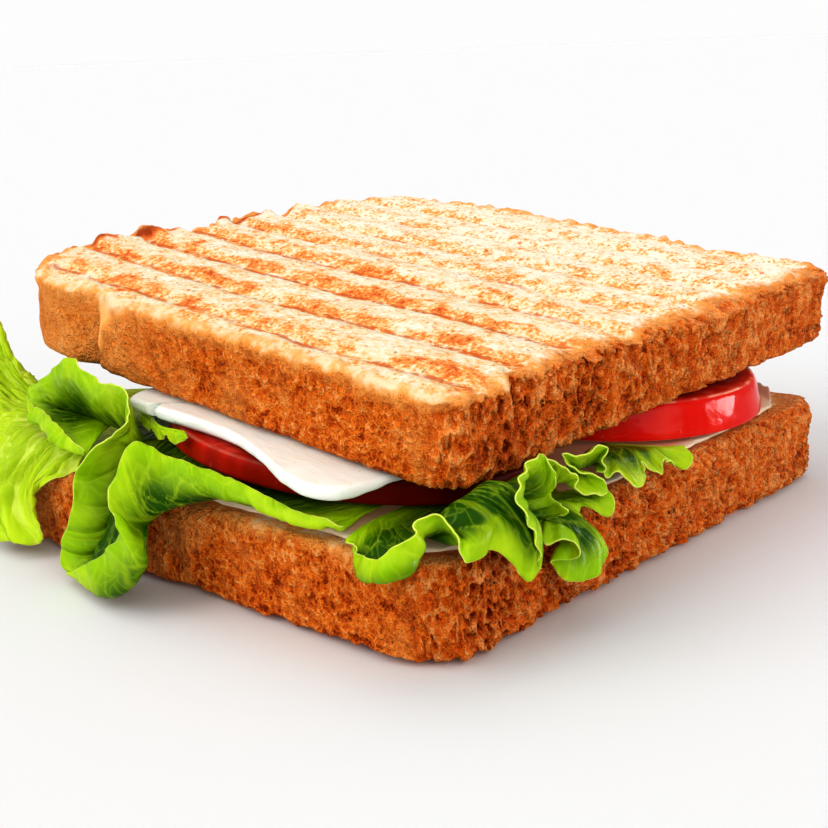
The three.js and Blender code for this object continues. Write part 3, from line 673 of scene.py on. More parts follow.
def leaf_finish(name, filling, deep_at, deep_share=1.0, pale=0.0):
    """Lettuce: translucent, and yellow-green towards a thin pale rim.

    It is deep green from deep_at millimetres inside its rim, as far as deep_share says, partly as
    painted shade.
    """
    finish = Finish(name)
    rim = finish.attribute("rim")
    vein = finish.attribute("vein")
    flat = finish.add("ShaderNodeUVMap", uv_map="UVMap").outputs[0]
    bends = {"Vector": flat, "Scale": 14.0, "Detail": 2.0}
    shift = finish.add("ShaderNodeTexNoise", bends).outputs["Color"]
    small = finish.stretch(0.05, 0.05, 0.0, shift)
    ribs = finish.stretch(1.0, 0.5, 1.0, flat)
    wandering = finish.add("ShaderNodeVectorMath", {0: ribs, 1: small}, operation="ADD").outputs[0]
    net = finish.cells(52, wandering)
    veins = finish.range(vein, 0.0, 0.1, 0.3 + 0.45 * pale, 0.0)
    fine_veins = finish.range(net, 0.0, 0.09, 0.16, 0.0)
    # Deep green inwards from the rim: partly the leaf's own colour, partly painted shade in its folds
    # and under the bread.
    inner = finish.range(rim, 1.0, deep_at, 0.0, deep_share)
    outer = finish.math("SUBTRACT", 1.0, inner)
    shade = finish.mix(inner, finish.mix(pale, filling.leaf, filling.leaf_light), filling.leaf_deep_and_shade)
    patchy = finish.product(finish.patches(110, 3, 0.4, 0.65, 0.7), outer)
    shade = finish.mix(patchy, shade, filling.leaf_light)
    shade = finish.mix(veins, shade, finish.mix(pale, filling.leaf_light, filling.leaf_rim))
    shade = finish.mix(fine_veins, shade, filling.leaf_light)
    shade = finish.mix(finish.range(rim, 0.0, 0.16, 0.8, 0.0), shade, filling.leaf_rim)
    blister = finish.range(vein, 0.0, 0.4)
    quilt = finish.range(net, 0.0, 0.35)
    height = finish.total((blister, 0.9), (quilt, 0.3), (finish.noise(450, 2), 0.6))
    normal = finish.bump(height, 0.3, 0.8)
    return finish.surface(
        Base_Color=shade,
        Roughness=0.3,
        Specular_IOR_Level=0.07,
        Subsurface_Weight=0.25,
        Subsurface_Radius=(0.5, 1.0, 0.05),
        Subsurface_Scale=0.001,
        Normal=normal,
    )


def tomato_finish(name, filling, skin_colour, flesh_colour, gloss, shaded=0.0):
    """Tomato: a smooth skin round wet flesh, with a thin pale line of painted highlight where they meet.

    A shaded tomato gets painted shade, darker towards its right end, deep between the slices.
    """
    finish = Finish(name)
    skin = finish.attribute("skin")
    line = finish.attribute("line")
    flesh = finish.mix(finish.patches(260, 3, 0.45, 0.7), flesh_colour, filling.tomato_pale)
    streaks = finish.patches(200, 3, 0.4, 0.7, 0.6, finish.stretch(1.0, 1.0, 0.1))
    shade = finish.mix(skin, flesh, finish.mix(streaks, skin_colour, filling.tomato_light))
    broken = finish.range(finish.noise(340, 2), 0.4, 0.6, 0.1, 0.2 + gloss)
    # The pale line along the skin's cut edges is painted highlight, stronger on a glossy tomato.
    pale_line_highlight = finish.product(finish.range(line, 0.55, 1.0), broken)
    shade = finish.mix(pale_line_highlight, shade, paint(250, 176, 140))
    shade = finish.mix(finish.patches(900, 2, 0.68, 0.74, 0.25), shade, paint(236, 120, 84))
    # Painted shade: the tomato darkens to near black towards its right end, deep between the slices.
    in_shade = finish.range(finish.coordinate(0), 0.002, 0.034, 0.0, shaded)
    shade = finish.mix(in_shade, shade, paint(70, 2, 0))
    height = finish.total((finish.noise(300, 3), 1.0), (finish.noise(110, 2), 3.0))
    normal = finish.bump(height, 0.2, 0.8)
    return finish.surface(
        Base_Color=shade,
        Roughness=0.34 - 0.4 * gloss,
        Specular_IOR_Level=0.03 + 0.18 * gloss,
        Subsurface_Weight=0.1,
        Subsurface_Radius=(1.0, 0.1, 0.05),
        Subsurface_Scale=0.0015,
        Normal=normal,
    )


def turkey_finish(name, meat, rosy, torn):
    """Cooked turkey: moist and pale, with faint grain and rosy blotches, and torn at its rim."""
    finish = Finish(name)
    fibres = finish.patches(900, 3, 0.4, 0.7, vector=finish.stretch(0.25, 1.0, 1.0))
    shade = finish.mix(finish.product(fibres, 0.25), meat, rosy)
    shade = finish.mix(finish.patches(140, 2, 0.4, 0.68, 0.35), shade, rosy)
    shade = finish.mix(finish.patches(1100, 2, 0.68, 0.74, 0.5), shade, paint(196, 168, 104))
    shade = finish.mix(finish.product(finish.attribute("torn"), 0.8), shade, torn)
    height = finish.math("ADD", finish.noise(700, 3), finish.product(fibres, 0.4))
    normal = finish.bump(height, 0.2, 0.4)
    return finish.surface(
        Base_Color=shade,
        Roughness=0.42,
        Specular_IOR_Level=0.2,
        # A faint glow of its own colour: painted light that brightens the meat where it lies in shade.
        Emission_Color=shade,
        Emission_Strength=0.06,
        Subsurface_Weight=0.2,
        Subsurface_Radius=(1.0, 0.7, 0.5),
        Subsurface_Scale=0.0015,
        Normal=normal,
    )


def floor_finish(stage):
    finish = Finish("studio_floor")
    shade = finish.mix(finish.patches(3, 2, 0.3, 0.7, 0.04), stage.floor, paint(215, 215, 215))
    return finish.surface(Base_Color=shade, Roughness=0.9, Specular_IOR_Level=0.0)


# Settings a user would change.


def length(name, description, millimetres):
    return FloatProperty(
        name=name, description=description, default=millimetres * MM, min=0, unit="LENGTH"
    )


def colour(name, description, *steps):
    return FloatVectorProperty(
        name=name, description=description, default=paint(*steps), subtype="COLOR", min=0, max=1
    )


def brightness(name, description, amount):
    return FloatProperty(name=name, description=description, default=amount, min=0, soft_max=10)


class BreadSettings(bpy.types.PropertyGroup):
    """Sizes and colours of the two bread slices."""

    width: length("Width", "Width of both slices, from crown to base", 102)
    bottom_depth: length("Bottom depth", "Depth of the bottom slice", 104.6)
    top_depth: length("Top depth", "Depth of the top slice", 105.6)
    bottom_thickness: length("Bottom thickness", "Thickness of the bottom slice", 14.2)
    top_thickness: length("Top thickness", "Thickness of the top slice", 13.8)
    groove_pitch: length("Groove pitch", "Distance between two grooves of the grill", 11.75)
    groove_depth: length("Groove depth", "How deep the grill presses its grooves", 1.3)
    cream: colour("Cream", "Toasted face at the front", 222, 200, 158)
    pale_cream: colour("Pale cream", "Toasted face at the back", 224, 210, 182)
    pale_crumb: colour("Pale crumb", "Palest patches of the face", 230, 222, 204)
    toasted: colour("Toasted", "Warmer patches of the face", 224, 172, 98)
    browned: colour("Browned", "Patches in the grooves", 226, 134, 58)
    blot: colour("Blot", "Darker blots in the grooves", 212, 98, 34)
    mark: colour("Mark", "Thin line pressed along a groove", 184, 72, 20)
    scorched: colour("Scorched", "Darkest marks in the grooves", 184, 66, 18)
    fleck: colour("Fleck", "Small dark grains of the face", 146, 92, 24)
    burnt: colour("Burnt", "Burnt bumps at the crown", 140, 44, 8)
    border: colour("Border", "Edge between the face and the crust", 236, 142, 56)
    crust: colour("Crust", "Main colour of the crust", 224, 98, 12)
    crust_light: colour("Light crust", "Lighter patches of the crust", 240, 124, 38)
    crust_dark: colour("Dark crust", "Darker parts of the crust", 198, 76, 8)
    # The pit and hole colours are painted shade of the crust's hollows and holes, and the string colour
    # is painted highlight on its ridges.
    pit: colour("Pit", "Hollows in the crust", 160, 46, 0)
    hole_shade: colour("Hole", "Small dark holes in the crust", 112, 26, 0)
    ruddy: colour("Ruddy", "Tint of the crust on the base side", 255, 224, 200)
    string: colour("String", "Thin ridges on the crust", 246, 154, 76)
    crown: colour("Crown", "Smooth crust on the domed side", 236, 138, 54)
    crown_light: colour("Light crown", "Lighter patches of the smooth crust", 248, 168, 88)
    crown_brown: colour("Brown crown", "Browner patches of the smooth crust", 218, 108, 26)


class FillingSettings(bpy.types.PropertyGroup):
    """Sizes and colours of the turkey, lettuce and tomato."""

    leaf_thickness: length("Leaf thickness", "Thickness of the lettuce", 0.5)
    upper_turkey_thickness: length("Upper turkey thickness", "Thickness of the upper turkey slice", 1.3)
    lower_turkey_thickness: length("Lower turkey thickness", "Thickness of the lower turkey slice", 1.0)
    leaf: colour("Leaf", "Lettuce near its edge", 128, 176, 0)
    # The deep leaf colour is partly painted shade for the leaf's folds and the parts under the bread.
    leaf_deep_and_shade: colour("Deep leaf", "Lettuce towards its heart", 22, 62, 0)
    leaf_light: colour("Light leaf", "Palest patches of the lettuce", 182, 212, 20)
    leaf_rim: colour("Leaf rim", "Thin rim of the lettuce", 214, 226, 96)
    tomato_skin: colour("Tomato skin", "Outside of the right tomato", 212, 4, 0)
    tomato_light: colour("Light tomato skin", "Streaks in the skin", 228, 26, 4)
    tomato_flesh: colour("Tomato flesh", "Cut face of the right tomato", 156, 8, 2)
    tomato_pale: colour("Pale tomato flesh", "Palest parts of the cut face", 186, 40, 24)
    # The left tomato's red is darkened as painted shade, for its place between the slices.
    tomato_shaded: colour("Dark tomato", "Skin and flesh of the left tomato", 148, 10, 0)
    poultry: colour("Upper turkey", "White slice at the top", 224, 229, 220)
    turkey: colour("Lower turkey", "Rosier slice below", 232, 180, 134)


class StageSettings(bpy.types.PropertyGroup):
    """Light and floor of the studio."""

    floor: colour("Floor", "Colour of the floor", 217, 217, 217)
    backdrop: colour("Backdrop", "Colour behind the floor", 253.3, 253.3, 253.3)
    key: brightness("Key light", "Soft light from above and behind", 0.6)
    fill: brightness("Fill light", "Soft light from the left", 1.5)
    side: brightness("Side light", "Soft light from the right", 1.25)
    glint: brightness("Glint light", "Light that only glossy surfaces show", 1.2)
    surroundings: brightness("Surroundings", "Light from all round", 0.76)


# Bread.


def draw_out(bm, rim, steps, drop=0.0, shrink=1.0):
    """Draws a rim out in steps, each lower or smaller than the last, and returns the new rim."""
    for _ in range(steps):
        drawn = bmesh.ops.extrude_edge_only(bm, edges=rim)["geom"]
        verts = [item for item in drawn if isinstance(item, bmesh.types.BMVert)]
        rim = [item for item in drawn if isinstance(item, bmesh.types.BMEdge) and item.is_boundary]
        bmesh.ops.translate(bm, verts=verts, vec=(0, 0, -drop))
        bmesh.ops.scale(bm, verts=verts, vec=(shrink, shrink, 1))
    return rim


def close_rim(bm, rim, steps):
    """Closes an opening with narrow rings of faces and one large face inside them."""
    bmesh.ops.edgeloop_fill(bm, edges=draw_out(bm, rim, steps, shrink=0.992))


def slice_block(cells, rings):
    """A block from -1 to 1 each way: a grid above, rings of faces down its side and one face below."""
    bm = bmesh.new()
    bmesh.ops.create_grid(bm, x_segments=cells[0], y_segments=cells[1], size=1)
    bmesh.ops.translate(bm, verts=bm.verts, vec=(0, 0, 1))
    rim = draw_out(bm, [edge for edge in bm.edges if edge.is_boundary], rings, drop=2 / rings)
    close_rim(bm, rim, 5)
    bmesh.ops.recalc_face_normals(bm, faces=bm.faces)
    return bm


def wall_block(columns, rings):
    """A block from -1 to 1 each way with fine walls and one large face above and below."""
    bm = bmesh.new()
    corners = ((1, -1, 1), (1, 1, 1), (-1, 1, 1), (-1, -1, 1), (1, -1, 1))
    square = [Vector(corner) for corner in corners]
    verts = bmesh.ops.create_circle(bm, segments=columns, radius=1)["verts"]
    for index, vert in enumerate(verts):
        side, share = divmod(4 * index / columns, 1)
        vert.co = square[int(side)].lerp(square[int(side) + 1], share)
    ring = bm.edges[:]
    close_rim(bm, draw_out(bm, ring, rings, drop=2 / rings), 5)
    close_rim(bm, ring, 14)
    bmesh.ops.recalc_face_normals(bm, faces=bm.faces)
    return bm


def grilled_face(x, y, share, pitch, depth):
    """The relief of the toasted face: grooves that wander a little and fade out at the crust.

    Returns its height, and the phase of the grooves.
    """
    wander = 0.7 * np.sin(x / 17 + y / 23)
    phase = 2 * np.pi * (y - 0.4 - wander) / pitch
    groove = (0.5 + 0.5 * np.cos(phase)) ** 3
    pressed = 0.55 + 0.45 * crumb(x / 14, y / 14, 3)
    pillow = 0.5 * crumb(x / 7, y / 7, 9)
    height = -depth * groove * pressed * (1 - 0.5 * smoothstep(share, 0.9, 1)) - pillow
    grain = 0.25 * crumb(x / 1.3, y / 1.3, 5) + 0.2 * crumb(x / 0.9, y / 0.9, 2)
    grain = grain + 1.1 * smoothstep(share, 0.93, 1) * crumb(x / 1.7, y / 1.7, 8)
    return height - grain, phase


def crust_depth(x, y, z, base_side, rough, upright):
    """How far the crust is eaten in between its ridges, and how far its lumps sink."""
    bend = 1.5 * crumb(x / 2.3, y / 2.3, z / 2.6) + 0.6 * crumb(x / 0.9, y / 0.9, z / 0.9 + 4)
    coarse = foam(x / 1.55 + bend, y / 1.55 - bend, z / (1.5 * upright) + bend)
    ridge = np.abs(2 * crumb(x / 1.2 + bend, y / 1.2 + bend, z / (2.0 * upright) + 9) - 1)
    patchy = smoothstep(crumb(x / 5, y / 5, z / 6 + 2), 0.3, 0.7)
    base = (0.4 + 0.8 * patchy) * smoothstep(coarse, 0.0, 0.6) + 0.9 * smoothstep(ridge, 0.0, 0.5)
    fold = np.abs(2 * crumb(x / 1.3 + bend, y / 1.3, z / 1.3 + 3) - 1)
    front = 0.35 * smoothstep(fold, 0.0, 0.7) + 0.25 * crumb(x / 0.9, y / 0.9, z / 0.9)
    lumps = (0.7 + 0.5 * base_side) * crumb(x / 2.4, y / 2.4, z / 2.4 + 5)
    return (front + (base - front) * base_side) * (0.2 + 0.8 * rough), lumps


def seam_and_slit(border_x, border_y, level, half_width, base_side, front):
    """The seam under the top slice's crown, and the slit near its front corner.

    Returns how deep they are, where the slit's smooth lip is, and how much further the face wraps down.
    """
    seam = border_x - SEAM_PLACE - 0.12 * level
    step = 1.5 * smoothstep(-seam, -0.4, 0.6) * np.exp(-np.maximum(-seam, 0) / 8) * front
    step = step - 0.5 * np.exp(-((seam - 1.2) ** 2)) * front
    slit = border_y - SLIT_PLACE - 0.25 * (6.9 - level)
    on_base = border_x > half_width * 0.99
    cut = 1.8 * np.exp(-((slit / 0.45) ** 2)) * smoothstep(level, -0.5, 2.0) * on_base
    lip = np.exp(-(((slit + 1.2) / 1.0) ** 2)) * base_side
    near_corner = np.exp(-((border_x - 47) ** 2 + (border_y + 48) ** 2) / 60)
    wrap = 1.7 * front + 1.4 * near_corner + 2.4 * lip
    wrap = wrap + 12 * np.exp(-np.maximum(seam, 0) / 3.4 - np.maximum(-seam, 0) / 0.7) * front
    return step + cut, lip, wrap


def grill_marks(x, y, phase, down):
    """Notes how strongly each place is browned, and where patches, groove lines and burnt bumps lie."""
    strength = np.interp(y, GROOVE_PLACES, GROOVE_BROWNING)
    strength = strength * (1 - 0.35 * smoothstep(x, 5, 40) * smoothstep(y, -20, -8))
    strength = strength * (0.3 + 0.7 * crumb(x / 9 + 3, y / 6, 2) + 0.4 * crumb(x / 2.5, y / 2.5, 4))
    burn = smoothstep(-x, 43, 49) * smoothstep(y, -42, -30) * smoothstep(-y, -24, -12)
    return {
        "strength": strength,
        "patch": np.cos(phase - 0.85 + 2.6 * (crumb(x / 4, y / 4, 1) - 0.5)),
        "line": np.cos(phase - 0.12 + 0.5 * (crumb(x / 3, y / 9, 7) - 0.5)),
        "burn": burn * smoothstep(down, 3.5, 0.5),
    }


def shape_slice(mesh, size, corners, dents, ragged, rough_from, upright, groove=None):
    """Moves the points of a block to a slice of bread, and notes what its finish needs.

    The crust turns rough over a stretch of x. The top slice has grooves of a pitch and a depth.
    """
    width, depth, thickness = size
    px, py, pz = places_of(mesh).T
    half_width = width / 2
    half_depth = depth / 2
    share = np.maximum(np.abs(px), np.abs(py))
    safe = np.maximum(share, 1e-6)
    border_x = px / safe * half_width
    border_y = py / safe * half_depth
    square_reach = np.hypot(border_x, border_y)
    height = (pz + 1) / 2 * thickness
    level = height - thickness / 2

    # The crust is eaten in and lumpy. On the top slice the toasted face wraps down over it.
    base_side = smoothstep(border_x / half_width, 0.84, 1.0)
    rough = smoothstep(border_x, *rough_from)
    uneven = crumb(border_x / CRUST_GRAIN, border_y / CRUST_GRAIN, (level + ragged) / CRUST_GRAIN)
    eaten, lumps = crust_depth(border_x, border_y, level, base_side, rough, upright)
    hollow = eaten / (0.55 + 0.6 * base_side)
    wrap = 0.4 - (1.4 if groove else 3.6) * base_side
    if groove:
        front = smoothstep(-border_y / half_depth, 0.9, 1.0)
        pressed, lip, wrapped = seam_and_slit(border_x, border_y, level, half_width, base_side, front)
        wrap = wrap + wrapped
        eaten = eaten * (1 - 0.7 * lip) + pressed
        eaten = eaten * (0.25 + 0.75 * smoothstep(thickness - height, wrap - 1, wrap + 2))

    # The outline has rounded corners, rounded edges and a few dents.
    reach = rounded_reach(border_x, border_y, half_width, half_depth, corners)
    reach = reach + 0.5 + 0.9 * base_side - CRUST_RELIEF * uneven - eaten - lumps
    for from_edge, depth_of_edge in ((thickness - height, 2.4), (height, 1.7)):
        curl = np.clip(1 - from_edge / depth_of_edge, 0, 1)
        reach = reach - CRUST_EDGE * (1 - np.sqrt(1 - curl * curl))
    for dent_x, dent_y, dent, dent_width in dents:
        away = (border_x - dent_x) ** 2 + (border_y - dent_y) ** 2
        reach = reach - dent * np.exp(-away / dent_width**2)
    spread = 1 + (reach / square_reach - 1) * share**3
    x = px * half_width * spread
    y = py * half_depth * spread
    crumbled = 0.6 * uneven + 1.1 * crumb(border_x / 1.6, border_y / 1.6, 4)
    height = height + ragged * crumbled * np.exp(-height / 1.3) * share**60

    # The distance below the face's rim, which is negative on the face itself.
    on_face = pz > OUTERMOST
    inside = (1 - share) * half_width
    on_wall = np.where(share > OUTERMOST, thickness - height, thickness + inside)
    down = np.where(on_face, -inside, on_wall)
    marks = dict.fromkeys(("strength", "patch", "line", "burn"), np.zeros(len(x)))
    if groove:
        relief, phase = grilled_face(x, y, share, *groove)
        collar = relief * smoothstep(thickness - height, 2.5, 0.0) * ~on_face * (pz > 0)
        height = height + np.where(on_face, relief, collar)
        marks = grill_marks(x, y, phase, down)
        height = height + 1.5 * marks["burn"] * smoothstep(crumb(x / 2.4, y / 2.4, 6), 0.4, 0.75)
    set_places(mesh, np.stack([x, y, height], axis=1))
    # The depth of each hollow is noted so that the finish can paint shade into it.
    write_attributes(
        mesh,
        down=down,
        base_side=base_side,
        rough=rough,
        wrap=wrap,
        pit=np.where(on_face, 0, hollow),
        **marks,
    )


class SANDWICH_OT_bottom_slice(bpy.types.Operator):
    """Builds the bottom slice of bread"""

    bl_idname = "sandwich.bottom_slice"
    bl_label = "Bottom Slice"

    def execute(self, context):
        bread = context.scene.sandwich_bread
        size = np.array((bread.width, bread.bottom_depth, bread.bottom_thickness)) / MM
        mesh = to_mesh(wall_block(columns=1200, rings=40), "toast_bottom")
        shape_slice(
            mesh, size, BOTTOM_CORNERS, BOTTOM_DENTS, ragged=1.0, rough_from=(-46, -26), upright=1.0
        )
        add_piece("toast_bottom", mesh, toast_finish("toast_lower", bread), "bread_bottom")
        return {"FINISHED"}


class SANDWICH_OT_top_slice(bpy.types.Operator):
    """Builds the top slice of bread, with its grilled face up"""

    bl_idname = "sandwich.top_slice"
    bl_label = "Top Slice"

    def execute(self, context):
        bread = context.scene.sandwich_bread
        size = np.array((bread.width, bread.top_depth, bread.top_thickness)) / MM
        groove = (bread.groove_pitch / MM, bread.groove_depth / MM)
        mesh = to_mesh(slice_block(cells=(236, 244), rings=36), "toast_top")
        shape_slice(
            mesh,
            size,
            TOP_CORNERS,
            TOP_DENTS,
            ragged=0.0,
            rough_from=(-24, -2),
            upright=1.8,
            groove=groove,
        )
        roll, pitch = (math.radians(angle) for angle in TOP_TILT)
        tilt = Matrix.Rotation(roll, 4, "X") @ Matrix.Rotation(pitch, 4, "Y")
        mesh.transform(Matrix.Translation(TOP_PLACE * MM) @ tilt)
        add_piece("toast_top", mesh, toast_finish("toast_upper", bread), "bread_top")
        return {"FINISHED"}


# Tomato.


def tomato_slice(name, at, material, node):
    """Turns a tomato slice from its profile, a little out of round, and lays it in its place."""
    deep = at["deep"]
    thickness = at["thickness"]
    taper = at["taper"]
    flat = [(deep - 1.1) * step / 12 for step in range(12)]
    side = smooth_line(
        [
            (deep - 1.1, 0),
            (deep - 0.2, 0.4),
            (deep - 0.3 * taper, thickness * 0.45),
            (deep - 0.85 * taper, thickness - 0.4),
            (deep - taper - 0.9, thickness),
        ],
        np.linspace(0, 1, 21),
    )
    profile = [(radius, 0) for radius in flat] + [tuple(point) for point in side]
    profile += [(radius * (deep - taper - 0.9) / (deep - 1.1), thickness) for radius in reversed(flat)]
    bm = bmesh.new()
    verts = [bm.verts.new((radius, 0, rise)) for radius, rise in profile]
    edges = [bm.edges.new(pair) for pair in zip(verts, verts[1:])]
    bmesh.ops.spin(bm, geom=verts + edges, axis=(0, 0, 1), angle=math.tau, steps=200, use_merge=True)
    bmesh.ops.remove_doubles(bm, verts=bm.verts, dist=1e-4)
    bmesh.ops.recalc_face_normals(bm, faces=bm.faces)
    mesh = to_mesh(bm, name)
    x, y, z = places_of(mesh).T
    radius = np.hypot(x, y)
    angle = np.arctan2(y, x)
    wall = smoothstep(radius, deep - taper - 1.2, deep - taper - 0.7)
    # The pale lines at the top and bottom edges of the skin are painted highlight.
    top_highlight = np.exp(-(((z - thickness + 0.25) / 0.22) ** 2)) * wall
    bottom_highlight = np.exp(-(((z - 0.2) / 0.2) ** 2)) * smoothstep(radius, deep - 1.3, deep - 0.8)
    skin = wall * smoothstep(z, -0.1, 0.3) * smoothstep(thickness - z, 0.0, 0.25)
    write_attributes(mesh, skin=skin, line=np.maximum(top_highlight, bottom_highlight))
    round_off = 1 + 0.01 * np.sin(3 * angle + 1) + 0.005 * np.sin(5 * angle)
    round_off = round_off + 0.004 * (crumb(x / 4, y / 4, z / 3) - 0.5) * wall
    cut = (radius < deep - taper - 1) * smoothstep(radius, 0, 3)
    z = z - 0.2 * cut * crumb(x / 3, y / 3, 2) * (z > thickness / 2)
    set_places(mesh, np.stack([x * round_off * at["wide"] / deep, y * round_off, z], axis=1))
    mesh.transform(Matrix.Rotation(math.radians(at["tilt"]), 4, "Y"))
    mesh.transform(Matrix.Translation((at["x"] * MM, at["y"] * MM, at["z"] * MM)))
    add_piece(name, mesh, material, node)


class SANDWICH_OT_tomatoes(bpy.types.Operator):
    """Turns the two slices of tomato"""

    bl_idname = "sandwich.tomatoes"
    bl_label = "Tomato Slices"

    def execute(self, context):
        filling = context.scene.sandwich_filling
        # The left tomato is darkened all over and towards its right end: painted shade between the
        # slices.
        dark = filling.tomato_shaded
        dull = tomato_finish("tomato_dull_shaded", filling, dark, dark, gloss=0.0, shaded=0.85)
        skin = filling.tomato_skin
        glossy = tomato_finish("tomato_glossy", filling, skin, filling.tomato_flesh, gloss=0.5)
        tomato_slice("tomato_slice_left", LEFT_TOMATO, dull, "tomato_left")
        tomato_slice("tomato_slice_right", RIGHT_TOMATO, glossy, "tomato_right")
        return {"FINISHED"}


# Turkey.


def meat_block(cells, rings):
    """A flat block from -1 to 1 each way, with the same grid above and below and rings round its rim."""
    bm = bmesh.new()
    bmesh.ops.create_grid(bm, x_segments=cells, y_segments=cells, size=1)
    copied = bmesh.ops.duplicate(bm, geom=bm.verts[:] + bm.edges[:] + bm.faces[:])["geom"]
    below = [item for item in copied if isinstance(item, bmesh.types.BMVert)]
    above = [vert for vert in bm.verts if vert not in set(below)]
    bmesh.ops.translate(bm, verts=above, vec=(0, 0, 1))
    bmesh.ops.translate(bm, verts=below, vec=(0, 0, -1))
    rim = [edge for edge in bm.edges if edge.is_boundary and edge.verts[0].co.z > 0]
    draw_out(bm, rim, rings, drop=2 / rings)
    bmesh.ops.remove_doubles(bm, verts=bm.verts, dist=1e-4)
    bmesh.ops.recalc_face_normals(bm, faces=bm.faces)
    return bm


def meat_slice(name, middle, outline, top, underside, ragged):
    """A thin slice with an uneven, rounded rim, shaped from a flat block."""
    mesh = to_mesh(meat_block(cells=110, rings=5), name)
    across, along, level = places_of(mesh).T
    furthest = np.maximum(np.abs(across), np.abs(along))
    share = 1 - (1 - furthest) ** 1.5
    turn = (np.arctan2(along, across) / math.tau) % 1
    rim = outline(turn)
    bulge = 0.35 * np.sqrt(np.maximum(1 - level * level, 0)) * (furthest > OUTERMOST)
    out = rim - np.asarray(middle)
    reach = np.maximum(np.linalg.norm(out, axis=1), 1e-6)
    torn = ragged * (crumb(rim[:, 0] / 1.6, rim[:, 1] / 1.6, level * 0.7) - 0.4)
    torn = torn * smoothstep(share, 0.9, 1)
    out = out * (1 + (bulge + torn) / reach)[:, None]
    x = middle[0] + share * out[:, 0]
    y = middle[1] + share * out[:, 1]
    high = top(x, y, share)
    low = underside(x, y, share)
    round_edge = 1 - 0.25 * smoothstep(share, 0.985, 1)
    z = (high + low) / 2 + level * (high - low) / 2 * round_edge
    z = z + 0.12 * (crumb(x / 2.2, y / 2.2, level) - 0.5) * (share > 0.5)
    set_places(mesh, np.stack([x, y, z], axis=1))
    write_attributes(mesh, torn=smoothstep(share, 0.97, 1.0) * (ragged > 0.6))
    return mesh


def under_top_slice(x, y):
    """Height of the top slice's underside, which lies aslant."""
    tilt_x, tilt_y = (math.tan(math.radians(angle)) for angle in TOP_TILT)
    return TOP_PLACE[2] - tilt_y * (x - TOP_PLACE[0]) + tilt_x * (y - TOP_PLACE[1])


class SANDWICH_OT_upper_turkey(bpy.types.Operator):
    """Lays the upper slice of turkey on the left tomato, with one corner hanging out"""

    bl_idname = "sandwich.upper_turkey"
    bl_label = "Upper Turkey"

    def execute(self, context):
        filling = context.scene.sandwich_filling
        thick = filling.upper_turkey_thickness / MM
        tilt = math.radians(LEFT_TOMATO["tilt"])

        def top(x, y, share):
            return under_top_slice(x, y) - GAP

        def underside(x, y, share):
            """The slice rests on the tomato, and hangs free round it."""
            free = top(x, y, share) - thick - 0.7 * smoothstep(share, 0.85, 1)
            across = (x - LEFT_TOMATO["x"]) * LEFT_TOMATO["deep"] / LEFT_TOMATO["wide"]
            away = np.hypot(across, y - LEFT_TOMATO["y"]) - LEFT_TOMATO["deep"]
            tomato_top = LEFT_TOMATO["z"] + LEFT_TOMATO["thickness"] / math.cos(tilt)
            tomato_top = tomato_top - math.tan(tilt) * (x - LEFT_TOMATO["x"])
            resting = tomato_top + GAP - 0.3 * np.maximum(0, away - 1)
            return np.maximum(free, np.minimum(resting, top(x, y, share) - 0.7))

        def outline(turn):
            order = np.argsort(turn)
            rim = np.empty((len(turn), 2))
            rim[order] = smooth_line(UPPER_TURKEY_RIM, turn[order], closed=True)
            notch = np.exp(-(((rim[:, 0] + 5.9) / 0.5) ** 2)) * (rim[:, 1] < -40)
            rim[:, 1] += 1.6 * notch
            return rim

        middle = (12, -27)
        mesh = meat_slice("turkey_sheet_upper", middle, outline, top, underside, ragged=0.25)
        rosy = paint(214, 212, 196)
        finish = turkey_finish("turkey_white", filling.poultry, rosy, torn=paint(214, 214, 198))
        add_piece("turkey_sheet_upper", mesh, finish, "turkey_upper")
        return {"FINISHED"}


class SANDWICH_OT_lower_turkey(bpy.types.Operator):
    """Lays the lower slice of turkey on the bottom bread, folded up at one corner"""

    bl_idname = "sandwich.lower_turkey"
    bl_label = "Lower Turkey"

    def execute(self, context):
        filling = context.scene.sandwich_filling
        floor = context.scene.sandwich_bread.bottom_thickness / MM + GAP
        thick = filling.lower_turkey_thickness / MM
        middle = (2, 0)

        def rise(x, y):
            """How far the corner behind the right tomato is folded up."""
            away = np.hypot(x - RIGHT_TOMATO["x"], y - RIGHT_TOMATO["y"]) - RIGHT_TOMATO["wide"]
            return 6.5 * smoothstep(away, 2.2, 6) * smoothstep(x, 34, 44) * smoothstep(y, 30, 42)

        def top(x, y, share):
            rim = 0.3 * smoothstep(share, 0.93, 1) * (1 - smoothstep(x, 28, 36))
            return floor + thick + rim + rise(x, y)

        def underside(x, y, share):
            return floor + rise(x, y)

        def outline(turn):
            dx = np.cos(math.tau * turn)
            dy = np.sin(math.tau * turn)
            reach = rounded_reach(dx, dy, 47.3, 50, LOWER_TURKEY_CORNERS)
            reach = reach - 1.2 * crumb(dx * 9, dy * 9, 5)
            return np.stack([middle[0] + dx * reach, dy * reach], axis=1)

        mesh = meat_slice("turkey_sheet_lower", middle, outline, top, underside, ragged=0.9)
        rosy = paint(222, 132, 90)
        finish = turkey_finish("turkey_rosy", filling.turkey, rosy, torn=paint(206, 190, 160))
        add_piece("turkey_sheet_lower", mesh, finish, "turkey_lower")
        return {"FINISHED"}


# Lettuce.


